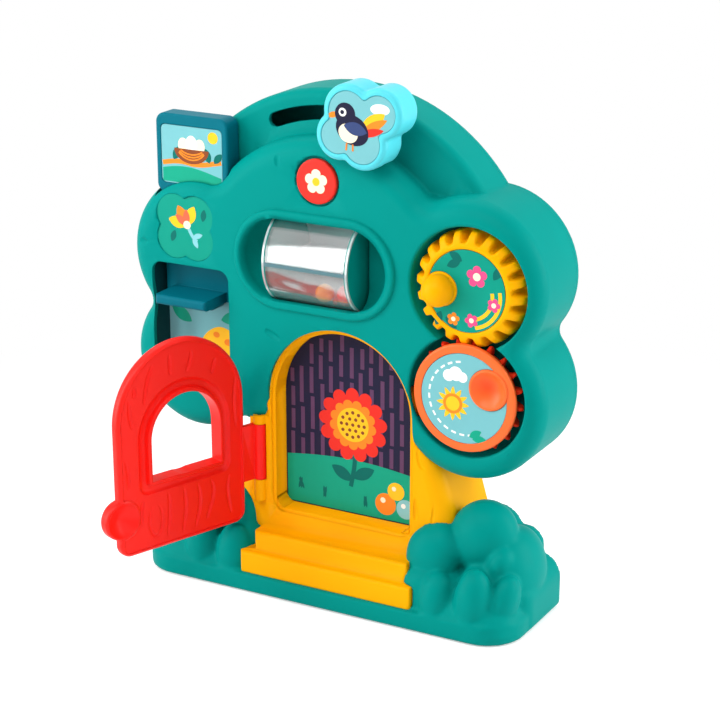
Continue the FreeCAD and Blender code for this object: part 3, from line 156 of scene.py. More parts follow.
plasticLook = {
    "mottleScale": 34.0, "mottleShift": 0.045, "roughnessShift": 0.05,
    "grainScale": 1900.0, "grainDepth": 0.00003, "grainStrength": 0.35,
    "edgeRadius": 0.0011, "edgeSamples": 6,
}
printLook = {
    "labelScale": 90.0, "labelShift": 0.03, "inkScale": 160.0, "inkShift": 0.04,
    "gloss": {"Roughness": 0.38, "Specular IOR Level": 0.08},
}
clearLook = {
    "wall": {"Roughness": 0.06, "Specular IOR Level": 0.9, "Coat Weight": 0.6, "Coat Roughness": 0.03},
    "edgeBlend": 0.35, "rippleScale": 60.0, "rippleStrength": 0.3, "rippleDepth": 0.0002,
    "shineRoughness": 0.08, "shineShares": (0.1, 0.5),
}
# millimetres below the lowest band of painted reflection and above the start of the highest one, and half of
# a step
paintedReflectionLook = {
    "below": 1.0, "above": 10.0, "softness": 0.9,
    "gloss": {"Roughness": 0.5, "Specular IOR Level": 0.2},
}
steelLook = {"colour": "#B9BCBF", "grainScale": 700.0, "roughness": (0.22, 0.38)}
white = (1.0, 1.0, 1.0, 1.0)


def mouldedPlastic(name, hexColour, roughness, specular, softEdges=True, shadeSpot=None):
    # Moulded plastic: a slow mottle in the colour, a fine grain in the surface, soft corners, and painted
    # shade round one place where that is given.
    material, tree, shader = newMaterial(name)
    look = plasticLook
    mottle = cloudOf(tree, look["mottleScale"], 3.0)
    colour = mixedColour(tree, mottle, *shadesOf(hexColour, look["mottleShift"]))
    # a deeper colour round one place, as painted shade
    if shadeSpot:
        colour = paintedShadeColour(tree, colour, shadeSpot)
    tree.links.new(colour, shader.inputs["Base Color"])
    least, most = roughness - look["roughnessShift"], roughness + look["roughnessShift"]
    tree.links.new(spread(tree, mottle, least, most), shader.inputs["Roughness"])
    bump = addNode(tree, "ShaderNodeBump", Strength=look["grainStrength"], Distance=look["grainDepth"])
    tree.links.new(cloudOf(tree, look["grainScale"], 2.0), bump.inputs["Height"])
    if softEdges:
        corner = addNode(tree, "ShaderNodeBevel", samples=look["edgeSamples"], Radius=look["edgeRadius"])
        tree.links.new(corner.outputs["Normal"], bump.inputs["Normal"])
    tree.links.new(bump.outputs["Normal"], shader.inputs["Normal"])
    shader.inputs["Specular IOR Level"].default_value = specular
    return material


def printedLabel(name, hexColour):
    # Printed film: even colour under a thin clear gloss with a faint unevenness.
    material, tree, shader = newMaterial(name)
    cloud = cloudOf(tree, printLook["labelScale"], 2.0)
    colour = mixedColour(tree, cloud, *shadesOf(hexColour, printLook["labelShift"]))
    tree.links.new(colour, shader.inputs["Base Color"])
    setSockets(shader, printLook["gloss"])
    return material


def printedInk(name):
    # Ink of the pictures: every shape carries its own colour in the attribute tint.
    material, tree, shader = newMaterial(name)
    tint = addNode(tree, "ShaderNodeAttribute", attribute_name="tint")
    cloud = cloudOf(tree, printLook["inkScale"], 2.0)
    shift = printLook["inkShift"]
    dye = addNode(tree, "ShaderNodeVectorMath", operation="SCALE")
    tree.links.new(tint.outputs["Color"], dye.inputs[0])
    tree.links.new(spread(tree, cloud, 1 - shift, 1 + shift), dye.inputs["Scale"])
    tree.links.new(dye.outputs["Vector"], shader.inputs["Base Color"])
    setSockets(shader, printLook["gloss"])
    return material


def clearPlastic(name, hexColour, facingAlpha, edgeAlpha):
    # Clear tube wall: see-through face on, milky towards its edges, with a mirror-like shine over
    # all of it that is strongest at the edges.
    material, tree, shader = newMaterial(name)
    look = clearLook
    shader.inputs["Base Color"].default_value = linear(hexColour)
    setSockets(shader, look["wall"])
    weight = addNode(tree, "ShaderNodeLayerWeight", Blend=look["edgeBlend"])
    bump = addNode(tree, "ShaderNodeBump", Strength=look["rippleStrength"], Distance=look["rippleDepth"])
    tree.links.new(cloudOf(tree, look["rippleScale"], 1.0), bump.inputs["Height"])
    tree.links.new(bump.outputs["Normal"], shader.inputs["Normal"])
    facing = weight.outputs["Facing"]
    tree.links.new(spread(tree, facing, facingAlpha, edgeAlpha), shader.inputs["Alpha"])
    shine = addNode(tree, "ShaderNodeBsdfAnisotropic", Color=white, Roughness=look["shineRoughness"])
    tree.links.new(bump.outputs["Normal"], shine.inputs["Normal"])
    wall = mixedShader(tree, spread(tree, facing, *look["shineShares"]), shader.outputs["BSDF"],
                       shine.outputs["BSDF"])
    tree.links.new(wall, tree.nodes["Material Output"].inputs["Surface"])
    return material


def paintedReflectionPlastic(name, bands):
    # Even plastic whose colour changes with height, in bands of painted reflection: each band starts at its
    # height in millimetres and runs into the one below over a soft step.
    material, tree, shader = newMaterial(name)
    softness = paintedReflectionLook["softness"]
    low, high = bands[0][0] - paintedReflectionLook["below"], bands[-1][0] + paintedReflectionLook["above"]
    place = addNode(tree, "ShaderNodeTexCoord")
    height = addNode(tree, "ShaderNodeSeparateXYZ")
    tree.links.new(place.outputs["Object"], height.inputs["Vector"])
    span = addNode(tree, "ShaderNodeMapRange")
    setSockets(span, {"From Min": low * mm, "From Max": high * mm})
    tree.links.new(height.outputs["Z"], span.inputs["Value"])
    ramp = addNode(tree, "ShaderNodeValToRGB")
    tree.links.new(span.outputs["Result"], ramp.inputs["Fac"])
    stops = [(0.0, bands[0][1])]
    for (_, below), (start, above) in zip(bands, bands[1:]):
        stops += [((start + step - low) / (high - low), colour)
                  for step, colour in ((-softness, below), (softness, above))]
    while len(ramp.color_ramp.elements) < len(stops):
        ramp.color_ramp.elements.new(1.0)
    for stop, (share, hexColour) in zip(ramp.color_ramp.elements, stops):
        stop.position = share
        stop.color = linear(hexColour)
    tree.links.new(ramp.outputs["Color"], shader.inputs["Base Color"])
    setSockets(shader, paintedReflectionLook["gloss"])
    return material


def steelFinish(name):
    # Plain steel whose gloss varies with a fine grain.
    material, tree, shader = newMaterial(name)
    setSockets(shader, {"Base Color": linear(steelLook["colour"]), "Metallic": 1.0})
    grain = cloudOf(tree, steelLook["grainScale"], 3.0)
    tree.links.new(spread(tree, grain, *steelLook["roughness"]), shader.inputs["Roughness"])
    return material


colours = {
    "teal": "#008D85", "yellow": "#FFB000", "red": "#FF1A10", "slider": "#006B7C",
    "disc": "#FF6C2C", "teeth": "#EE3414", "rim": "#52CEDB", "seam": "#5C7F86", "tubeRim": "#E9EEF0",
    "paleBlue": "#76BBC1", "leafGreen": "#0B9782", "night": "#25253E", "badge": "#E6291A",
    "beadOrange": "#F0762A", "beadYellow": "#F5A90B", "beadRed": "#E9302D",
    "black": "#1B2224", "shade": "#0D4247", "clear": "#F2F6F6",
}
# painted shade in the finger dimple, a deeper colour: middle, radius, colour
dimplePaintedShade = ((99.6, 155.0), 10.5, "#FF4A12")
drumLook = {
    "axis": (4.6, 212.0), "ends": (-46.5, 11.5), "seamRadii": (29.0, 29.4), "seamHalfAngle": 2.4,
    "rimRadii": (28.0, 29.45), "rimWidth": 1.3,
    # height in millimetres where each colour of the backing starts; the bands paint the reflections seen in
    # the clear drum, the white band a painted reflection of a lamp
    "bands": [(180.0, "#3FA5A0"), (187.5, "#B98A99"), (198.5, "#E4E9EC"), (213.0, "#F6F7F7"),
              (228.5, "#B4C9CE")],
}
# roughness, specular, soft edges, spot of painted shade
plastics = {
    "teal": (0.45, 0.03), "yellow": (0.4, 0.06), "red": (0.36, 0.22), "slider": (0.4, 0.06),
    "disc": (0.34, 0.25, True, dimplePaintedShade), "teeth": (0.4, 0.06), "rim": (0.32, 0.2),
    "seam": (0.4, 0.06, False), "black": (0.5, 0.06, False), "shade": (0.5, 0.06, False),
    "badge": (0.3, 0.2), "beadOrange": (0.22, 0.3, False), "beadYellow": (0.22, 0.3, False),
    "beadRed": (0.22, 0.3, False),
}
finishes = {key: mouldedPlastic(key + "Plastic", colours[key], *look) for key, look in plastics.items()}
finishes |= {key: printedLabel(key + "Print", colours[key]) for key in ("paleBlue", "leafGreen", "night")}
finishes |= {
    # drum backing in bands of painted reflection
    "backing": paintedReflectionPlastic("backingPaintedReflections", drumLook["bands"]),
    "tubeRim": clearPlastic("clearTubeRim", colours["tubeRim"], 0.42, 0.85),
    "clear": clearPlastic("clearTube", colours["clear"], 0.0, 0.3),
    "steel": steelFinish("plainSteel"),
    "ink": printedInk("pictureInk"),
}
finishNodes = {
    "teal": ["crown_shell", "crown_back_cover", "base_shell", "base_bottom_plate", "drum_end_left",
             "drum_end_right"],
    "yellow": ["trunk_shell", "trunk_back_cover", "upper_gear"],
    "red": ["door_panel"],
    "slider": ["slider_card", "drum_axle"],
    "shade": ["slider_guide"],
    "black": ["bird_retainer"],
    "badge": ["badge_disc"],
    "rim": ["bird_body", "bird_stem"],
    "teeth": ["lower_gear_wheel"],
    "disc": ["lower_gear_disc"],
    "steel": ["case_screws", "base_screws", "door_hinge_pin", "upper_gear_axle", "lower_gear_axle"],
    "night": ["doorway_label"],
    "paleBlue": ["window_label", "slider_label", "lower_gear_label", "bird_label"],
    "leafGreen": ["leaf_label", "upper_gear_label"],
    "backing": ["drum_backing"],
    "clear": ["drum_half_upper", "drum_half_lower"],
    "beadOrange": ["bead_orange"],
    "beadYellow": ["bead_yellow", "bead_small_yellow"],
    "beadRed": ["bead_red", "bead_small_red"],
}


def paint(piece, finish):
    piece.data.materials.clear()
    piece.data.materials.append(finishes[finish])


for finish, nodeNames in finishNodes.items():
    for nodeName in nodeNames:
        paint(nodes[nodeName], finish)
print("finishes on the nodes")


# meshes
def outwardMesh(name, points, faces, weld=0.0):
    # Mesh of closed shells from points in millimetres, with its faces turned outwards.
    mesh = bpy.data.meshes.new(name)
    mesh.from_pydata((np.asarray(points) * mm).tolist(), [], [list(face) for face in faces])
    shape = bmesh.new()
    shape.from_mesh(mesh)
    if weld:
        bmesh.ops.remove_doubles(shape, verts=shape.verts, dist=weld)
    bmesh.ops.recalc_face_normals(shape, faces=shape.faces)
    shape.to_mesh(mesh)
    shape.free()
    return mesh


def inScene(name, data):
    thing = bpy.data.objects.new(name, data)
    bpy.context.scene.collection.objects.link(thing)
    return thing


def smoothFaces(mesh):
    mesh.polygons.foreach_set("use_smooth", np.ones(len(mesh.polygons), bool))


def mounted(name, mesh, finish, body):
    # A visible piece on its body, in its finish.
    piece = inScene(name, mesh)
    mesh.materials.append(finishes[finish])
    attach(piece, body)
    return piece


def makePiece(name, points, faces, finish, body, slotName):
    mesh = outwardMesh(name, points, faces, weld=1e-7)
    smoothFaces(mesh)
    return mounted(name, mesh, finish, body)


def gridFaces(rows, columns, wrapRows=False, wrapColumns=False):
    # Quads of a grid of points numbered row by row.
    lastRow = rows if wrapRows else rows - 1
    lastColumn = columns if wrapColumns else columns - 1
    r, c = np.meshgrid(np.arange(lastRow), np.arange(lastColumn), indexing="ij")
    r, c = r.ravel(), c.ravel()
    r2, c2 = (r + 1) % rows, (c + 1) % columns
    return np.stack([r * columns + c, r * columns + c2, r2 * columns + c2, r2 * columns + c], 1)


def joined(shells):
    # Several closed shells as one set of points and faces.
    points, faces, count = [], [], 0
    for shellPoints, shellFaces in shells:
        points.append(np.asarray(shellPoints))
        faces += [[index + count for index in face] for face in shellFaces]
        count += len(shellPoints)
    return np.concatenate(points), faces


# outlines as points (x, z) in millimetres
def disc(x, z, radiusX, radiusZ=None, turn=0.0, count=40):
    # Ellipse turned by an angle in degrees.
    radiusZ = radiusX if radiusZ is None else radiusZ
    t = np.linspace(0, 2 * np.pi, count, endpoint=False)
    u, v = radiusX * np.cos(t), radiusZ * np.sin(t)
    a = np.radians(turn)
    return np.stack([x + u * np.cos(a) - v * np.sin(a), z + u * np.sin(a) + v * np.cos(a)], 1)


def flower(x, z, radius, petals, depth, turn=0.0):
    # Round outline whose radius swells once for each petal.
    t = np.linspace(0, 2 * np.pi, petals * 14, endpoint=False)
    r = radius * (1 - depth + depth * np.abs(np.cos(petals * t / 2)) ** 0.6)
    a = t + np.radians(turn)
    return np.stack([x + r * np.cos(a), z + r * np.sin(a)], 1)


def leaf(x, z, length, width, turn):
    # Lens between two points, widest in the middle.
    s = np.linspace(0, 1, 14)
    w = width / 2 * np.sin(np.pi * s) ** 0.8
    u = np.concatenate([s * length, s[-2:0:-1] * length])
    v = np.concatenate([w, -w[-2:0:-1]])
    a = np.radians(turn)
    return np.stack([x + u * np.cos(a) - v * np.sin(a), z + u * np.sin(a) + v * np.cos(a)], 1)


def ribbon(path, width):
    # Band of one width along a line of points.
    path = np.asarray(path, float)
    along = np.gradient(path, axis=0)
    along /= np.linalg.norm(along, axis=1, keepdims=True)
    side = np.stack([-along[:, 1], along[:, 0]], 1) * width / 2
    return np.concatenate([path + side, (path - side)[::-1]])


def arc(x, z, radius, start, stop, count=24):
    a = np.radians(np.linspace(start, stop, count))
    return np.stack([x + radius * np.cos(a), z + radius * np.sin(a)], 1)


def bar(x, z, width, height, turn=0.0):
    corners = np.array([(-1, -1), (1, -1), (1, 1), (-1, 1)]) * (width / 2, height / 2)
    a = np.radians(turn)
    spin = np.array([[np.cos(a), np.sin(a)], [-np.sin(a), np.cos(a)]])
    return corners @ spin + (x, z)


def crescent(x, z, radius, holeX, holeZ, holeRadius, count=140):
    # Disc outline with a round bite where the hole's circle crosses its edge: the disc's own arc,
    # then the hole's arc back.
    aim, gap = np.arctan2(holeZ - z, holeX - x), np.hypot(holeX - x, holeZ - z)
    outer = np.arccos((radius ** 2 + gap ** 2 - holeRadius ** 2) / (2 * radius * gap))
    inner = np.arccos((holeRadius ** 2 + gap ** 2 - radius ** 2) / (2 * holeRadius * gap))
    a = aim + np.linspace(outer, 2 * np.pi - outer, count)
    b = aim + np.pi + np.linspace(inner, -inner, count // 3)[1:-1]
    return np.stack([np.r_[x + radius * np.cos(a), holeX + holeRadius * np.cos(b)],
                     np.r_[z + radius * np.sin(a), holeZ + holeRadius * np.sin(b)]], 1)


def slabOf(outline, front, back):
    # Closed thin plate of one outline between two depths.
    count = len(outline)
    ring = [Vector((p[0], p[1], 0.0)) for p in outline]
    tris = np.array(tessellate_polygon([ring]))
    near = np.stack([outline[:, 0], np.full(count, front), outline[:, 1]], 1)
    far = np.stack([outline[:, 0], np.full(count, back), outline[:, 1]], 1)
    i = np.arange(count)
    j = (i + 1) % count
    sides = np.stack([i, j, j + count, i + count], 1)
    faces = [*tris.tolist(), *(tris[:, ::-1] + count).tolist(), *sides.tolist()]
    return np.concatenate([near, far]), faces


# millimetres by which printed shapes stand off their label and off each other
pictureLook = {"rise": 0.05, "sunk": 0.03, "layerStep": 0.035, "shapeStep": 0.004, "cycle": 8}


def makePicture(name, planeY, layers, body):
    # Flat printed shapes on a label, each layer a hair in front of the one before it.
    look = pictureLook
    plates, tints = [], []
    for level, shapes in enumerate(layers):
        for index, (outline, ink) in enumerate(shapes):
            front = planeY - look["rise"] - look["layerStep"] * level
            front -= look["shapeStep"] * (index % look["cycle"])
            plates.append(slabOf(np.asarray(outline, float), front, planeY + look["sunk"]))
            tints.append(np.tile(linear(inks[ink]), (len(plates[-1][0]), 1)))
    mesh = outwardMesh(name, *joined(plates))
    tint = mesh.attributes.new("tint", "FLOAT_COLOR", "POINT")
    tint.data.foreach_set("color", np.concatenate(tints).astype(np.float32).ravel())
    mounted(name, mesh, "ink", body)


# copies of CAD nodes that are carved or softened
def mergedCopy(nodeName, pieceName):
    # The node's triangles joined at their corners, as a new piece in the node's place.
    source = nodes[nodeName]
    mesh = source.data.copy()
    mesh.name = pieceName
    shape = bmesh.new()
    shape.from_mesh(mesh)
    bmesh.ops.remove_doubles(shape, verts=shape.verts, dist=2e-6)
    bmesh.ops.dissolve_degenerate(shape, edges=shape.edges, dist=1e-6)
    shape.to_mesh(mesh)
    shape.free()
    piece = inScene(pieceName, mesh)
    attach(piece, source["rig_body"])
    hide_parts(nodeName)
    return piece


def settle(piece):
    # Works the piece's modifiers into its mesh.
    graph = bpy.context.evaluated_depsgraph_get()
    mesh = bpy.data.meshes.new_from_object(piece.evaluated_get(graph))
    piece.modifiers.clear()
    piece.data = mesh


def cutter(name, points, faces):
    return inScene(name, outwardMesh(name, points, faces))


def carve(piece, tools):
    # Takes each tool's volume out of the piece, one after another.
    for tool in tools:
        cut = piece.modifiers.new("carve", "BOOLEAN")
        cut.operation = "DIFFERENCE"
        cut.solver = "EXACT"
        cut.object = tool
    settle(piece)
    for tool in tools:
        bpy.data.objects.remove(tool)


def crisp(piece, angle=32.0):
    # Smooth shading that breaks at edges sharper than the angle.
    smoothFaces(piece.data)
    piece.data.set_sharp_from_angle(angle=np.radians(angle))
    weigh = piece.modifiers.new("facesFirst", "WEIGHTED_NORMAL")
    weigh.keep_sharp = True


def rounded(path, rounds=3):
    # Cuts the corners of a line of points over and over until it runs smooth.
    path = np.asarray(path, float)
    for _ in range(rounds):
        if len(path) < 3:
            break
        near = path[:-1] * 0.75 + path[1:] * 0.25
        far = path[:-1] * 0.25 + path[1:] * 0.75
        path = np.concatenate([path[:1], np.stack([near, far], 1).reshape(-1, path.shape[1]), path[-1:]])
    return path


def grooveTube(path, faceY, outward, radius, depth):
    # Round tube along a line on a flat face, sunk to a depth, thin at its ends.
    # At share s of its length it is radius * max(sin(pi s) ^ 0.3, 0.06) thick, and its middle lies
    # radius - depth off the face.
    path = rounded(path, 4)
    steps = np.r_[0, np.cumsum(np.linalg.norm(np.diff(path, axis=0), axis=1))]
    count = max(int(steps[-1] / 1.2), 10)
    s = np.linspace(0, 1, count)
    x, z = (np.interp(s * steps[-1], steps, path[:, k]) for k in (0, 1))
    alongX, alongZ = np.gradient(x), np.gradient(z)
    span = np.hypot(alongX, alongZ)
    sideX, sideZ = -alongZ / span, alongX / span
    r = radius * np.maximum(np.clip(np.sin(np.pi * s), 0.0, 1.0) ** 0.3, 0.06)
    around = 12
    a = np.linspace(0, 2 * np.pi, around, endpoint=False)
    ring = np.cos(a)[None, :] * r[:, None]
    high = np.sin(a)[None, :] * r[:, None] + radius - depth
    points = np.stack([x[:, None] + ring * sideX[:, None], faceY + outward * high,
                       z[:, None] + ring * sideZ[:, None]], 2).reshape(-1, 3)
    faces = gridFaces(count, around, wrapColumns=True).tolist()
    faces += [list(range(around)), list(range((count - 1) * around, count * around))]
    return points, faces


def archOutline(centre, half, bottom, spring, corner, count=36):
    # Doorway outline: a half circle on a box whose lower corners are round.
    top = np.linspace(0, np.pi, count)
    left = np.linspace(np.pi, 1.5 * np.pi, 8)
    right = np.linspace(1.5 * np.pi, 2 * np.pi, 8)
    x = np.concatenate([centre + half * np.cos(top), centre - half + corner * (1 + np.cos(left)),
                        centre + half - corner * (1 - np.cos(right))])
    z = np.concatenate([spring + half * np.sin(top), bottom + corner * (1 + np.sin(left)),
                        bottom + corner * (1 + np.sin(right))])
    return np.stack([x, z], 1)


def loft(outlines, depths):
    # Rings of one count at their depths, joined and closed at both ends.
    count = len(outlines[0])
    points = np.concatenate([np.stack([o[:, 0], np.full(count, y), o[:, 1]], 1)
                             for o, y in zip(outlines, depths)])
    faces = gridFaces(len(outlines), count, wrapColumns=True).tolist()
    faces += [list(range(count)), list(range((len(outlines) - 1) * count, len(outlines) * count))]
    return points, faces


# door: wood grain, sunk field, hollowed window surround, bowl of the finger cup
doorLook = {
    "hinge": (-58.0, -11.5), "openAngle": -110.0, "innerFace": -1.5, "outerFace": -9.0,
    "middle": 58.0, "half": 47.5, "bottom": 41.0, "spring": 123.5, "border": 2.6, "fieldDepth": 0.9,
    "windowMiddle": 56.0, "windowHalf": 26.0, "windowBottom": 86.0, "windowSpring": 111.5, "lip": 2.4,
    # distance from the window's edge and height over the leaf's face, round the hollow's section
    "hollow": [(2.45, 2.0), (2.45, -1.9), (3.0, -2.7), (4.4, -3.0), (6.0, -2.9), (7.3, -2.3), (8.2, -1.2),
               (8.7, -0.4), (9.0, 2.0)],
    "cup": (103.2, 66.0, 12.7), "bowlRadius": 11.4, "bowlDepth": 7.2, "cupFace": -0.9,
    "fieldCorner": 4.0, "paneCorner": 1.5, "paneCornerGrowth": 0.6, "keepReach": 3, "bowlLip": 2.0,
    "grooveRadius": 1.5, "grooveDepth": 1.0, "knotShare": 0.8,
    "grain": [
        [(77.7, 160.1), (82.8, 149.6), (85.5, 134.9)], [(65.5, 163.8), (65.5, 149.4)],
        [(49.5, 163.4), (49.8, 156.7), (54.0, 148.4)], [(31.4, 154.4), (35.0, 143.5)],
        [(91.1, 148.0), (92.5, 141.1)], [(96.3, 141.0), (95.6, 128.3), (93.9, 121.4)],
        [(16.5, 139.0), (18.5, 122.0), (17.0, 104.0)],
        [(100.3, 104.0), (97.7, 93.3), (99.0, 84.0)], [(87.7, 75.5), (90.3, 68.0), (89.4, 58.0)],
        [(69.7, 76.6), (68.1, 65.6), (71.0, 46.0)], [(57.8, 76.6), (56.2, 62.4), (59.6, 45.4)],
        [(47.4, 76.6), (44.6, 64.0), (50.2, 46.0)], [(38.0, 76.6), (33.9, 67.8), (41.4, 49.2)],
        [(22.6, 76.0), (25.2, 66.0), (21.6, 48.0)],
    ],
    # ovals: middle, half width, half height
    "knots": [(79.2, 60.0, 4.7, 10.2), (79.2, 58.0, 1.7, 4.6)],
}


def doorPlace(points):
    # Turns points of the closed door to the open one about the hinge.
    a = np.radians(doorLook["openAngle"])
    x, y = points[:, 0], points[:, 1]
    return np.stack([doorLook["hinge"][0] + x * np.cos(a) - y * np.sin(a),
                     doorLook["hinge"][1] + x * np.sin(a) + y * np.cos(a), points[:, 2]], 1)


def doorTool(name, shells):
    points, faces = joined(shells)
    return cutter(name, doorPlace(points), faces)


def paneOutline(grow):
    look = doorLook
    return archOutline(look["windowMiddle"], look["windowHalf"] + grow, look["windowBottom"] - grow,
                       look["windowSpring"], look["paneCorner"] + grow * look["paneCornerGrowth"])


def ovalPath(x, z, halfWidth, halfHeight):
    t = np.linspace(np.radians(100), np.radians(440), 30)
    return np.stack([x + halfWidth * np.cos(t), z + halfHeight * np.sin(t)], 1)


def dressDoor():
    look = doorLook
    piece = mergedCopy("door_panel", "doorLeaf")
    field = archOutline(look["middle"], look["half"] - look["border"], look["bottom"] + look["border"],
                        look["spring"], look["fieldCorner"], 60)
    cupX, cupZ, cupR = look["cup"]
    tools = []
    for face, outward in ((look["innerFace"], 1), (look["outerFace"], -1)):
        level = face - outward * look["fieldDepth"]
        slab = doorTool("field", [loft([field, field], [face + outward, level])])
        keeps = [disc(cupX, cupZ, cupR, count=48), paneOutline(look["lip"])]
        through = [face + outward * look["keepReach"], face - outward * look["keepReach"]]
        carve(slab, [doorTool("keep", [loft([keep, keep], through)]) for keep in keeps])
        section = [paneOutline(grow) for grow, _ in look["hollow"]]
        points, _ = loft(section, [face + outward * height for _, height in look["hollow"]])
        faces = gridFaces(len(section), len(section[0]), wrapRows=True, wrapColumns=True).tolist()
        lines = [grooveTube(path, level, outward, look["grooveRadius"], look["grooveDepth"])
                 for path in look["grain"]]
        knotSize = [look[key] * look["knotShare"] for key in ("grooveRadius", "grooveDepth")]
        lines += [grooveTube(ovalPath(*knot), level, outward, *knotSize) for knot in look["knots"]]
        tools += [slab, doorTool("hollow", [(points, faces)]), doorTool("grain", lines)]
    # bowl: radius = bowlRadius * (1 - s^1.3)^0.8 at depth s * bowlDepth
    s = np.linspace(0, 0.995, 14)
    rings = [disc(cupX, cupZ, radius, count=48) for radius in look["bowlRadius"] * (1 - s ** 1.3) ** 0.8]
    depths = [look["cupFace"] + look["bowlLip"], *(look["cupFace"] + 0.02 - s * look["bowlDepth"])]
    tools.append(doorTool("bowl", [loft([rings[0], *rings], depths)]))
    carve(piece, tools)
    paint(piece, "red")
    crisp(piece)


dressDoor()
print("door carved")

# trunk: bark lines, the doorway's frame, rounded doorway corners
trunkLook = {
    "face": -11.7, "radius": 1.7, "depth": 1.1,
    "doorway": {"half": 46.7, "bottom": 50.0, "spring": 123.5, "back": 2.0},
    "frameWidth": 2.6, "frameDepth": 1.6, "frameCorner": 9.0, "filletRadius": 6.5,
    "bark": [
        [(51.4, 76.2), (51.9, 59.1)], [(63.5, 83.2), (64.5, 71.0), (62.7, 60.0)],
        [(74.1, 87.5), (77.6, 76.0), (80.6, 70.7)], [(-68.0, 92.0), (-67.0, 70.0)],
        [(53.0, 114.0), (52.8, 101.0), (56.0, 94.5), (61.0, 95.5), (63.4, 103.0), (62.0, 112.0)],
        [(57.6, 108.0), (57.9, 101.5)],
    ],
}


def dressTrunk():
    look = trunkLook
    door = look["doorway"]
    piece = mergedCopy("trunk_shell", "trunkBark")
    bark = joined([grooveTube(path, look["face"], -1, look["radius"], look["depth"])
                   for path in look["bark"]])
    frame = archOutline(0.0, door["half"] + look["frameWidth"], door["bottom"] - look["frameWidth"],
                        door["spring"], look["frameCorner"], 60)
    rebate = loft([frame, frame], [look["face"] - 1.0, look["face"] + look["frameDepth"]])
    carve(piece, [cutter("frame", *rebate), cutter("bark", *bark)])
    paint(piece, "yellow")
    crisp(piece)


def fillDoorwayCorners():
    # Hollow quarter round in each lower corner: the square corner less a circle of filletRadius.
    look = trunkLook
    door, r = look["doorway"], look["filletRadius"]
    t = np.linspace(np.pi, 1.5 * np.pi, 12)
    shells = []
    for side in (-1, 1):
        edge = side * (door["half"] + 0.1)
        x = np.r_[edge, edge - side * (r + r * np.cos(t))]
        z = np.r_[door["bottom"] - 0.1, door["bottom"] - 0.1 + r + r * np.sin(t)]
        outline = np.stack([x, z], 1)
        shells.append(slabOf(outline, look["face"] + look["frameDepth"], door["back"] - 0.05))
    crisp(makePiece("doorwayCorners", *joined(shells), "yellow", "tree", "yellow_plastic"))


dressTrunk()
fillDoorwayCorners()
print("trunk carved")

# crown: dents between its lobes
crownLook = {
    "face": -14.5, "radius": 2.6, "depth": 1.5,
    "dents": [
        [(-43.6, 288.6), (-40.4, 268.9)], [(125.2, 206.6), (137.9, 204.8)],
        [(121.9, 162.2), (136.5, 158.4)], [(113.0, 117.0), (118.0, 108.0)],
        [(-52.2, 167.4), (-39.6, 161.7)], [(-101.4, 101.4), (-93.4, 97.5)],
        [(-144.0, 212.4), (-134.8, 211.2)],
    ],
}


def dressCrown():
    look = crownLook
    piece = mergedCopy("crown_shell", "crownDented")
    points, faces = joined([grooveTube(path, look["face"], -1, look["radius"], look["depth"])
                            for path in look["dents"]])
    carve(piece, [cutter("dents", points, faces)])
    paint(piece, "teal")
    crisp(piece)


dressCrown()
print("crown carved")

# base: bushes of lobes over low heaps, run together by one remesh
baseLook = {
    "voxel": 1.3, "smoothing": 0.5, "rounds": 3,
    # middle, half sizes across, deep and high, lean to the right in degrees
    "lobes": [
        ((91.0, 2.0, 53.0), (22.0, 18.0, 24.0), 7.0), ((64.5, -14.0, 40.0), (16.5, 12.0, 20.5), 0.0),
        ((107.8, -8.0, 42.0), (8.6, 10.0, 12.0), 8.0), ((74.3, -26.0, 19.0), (11.0, 11.5, 18.5), 0.0),
        ((98.5, -26.5, 23.0), (11.8, 11.5, 21.5), 3.0), ((113.0, -17.0, 20.5), (10.0, 12.0, 20.0), 14.0),
        ((-69.0, -25.5, 20.0), (12.0, 12.0, 19.0), 0.0), ((-92.0, -25.5, 21.0), (12.0, 12.0, 20.0), 0.0),
        ((-112.0, -14.0, 20.0), (12.0, 13.0, 19.0), -8.0), ((-86.0, -4.0, 38.0), (15.0, 14.0, 20.0), 0.0),
        ((-71.0, -9.0, 38.0), (10.0, 10.0, 20.0), 0.0), ((-108.0, 6.0, 38.0), (15.0, 16.0, 18.0), -6.0),
        ((107.0, 9.5, 30.0), (19.5, 28.5, 30.0), 0.0),
    ],
    # middle and half sizes across and deep of the heap under each bush
    "heaps": [((93.6, 0.0), (32.0, 37.4)), ((-97.6, 0.0), (38.0, 37.4))],
    "heapFoot": 5.0, "heapHeight": 23.0, "heapSquareness": 3.4,
}


def heapSurface(middle, halves, look):
    # Dome with squarish plan on two angles, u round it and v up to its top: for the power p,
    # x = a sqrt(cos v) sign(cos u) |cos u|^(2/p), y likewise with sin u, z = foot + height sin v.
    rows, columns, top = 20, 96, 0.98 * np.pi / 2
    u, v = np.meshgrid(np.linspace(0, 2 * np.pi, columns, endpoint=False), np.linspace(0, top, rows))
    power = 2.0 / look["heapSquareness"]
    x = halves[0] * np.sqrt(np.cos(v)) * np.sign(np.cos(u)) * np.abs(np.cos(u)) ** power
    y = halves[1] * np.sqrt(np.cos(v)) * np.sign(np.sin(u)) * np.abs(np.sin(u)) ** power
    z = look["heapFoot"] + look["heapHeight"] * np.sin(v)
    points = np.stack([x + middle[0], y + middle[1], z], 2).reshape(-1, 3)
    faces = gridFaces(rows, columns, wrapColumns=True).tolist()
    return points, faces + [list(range(columns))[::-1], list(range((rows - 1) * columns, rows * columns))]


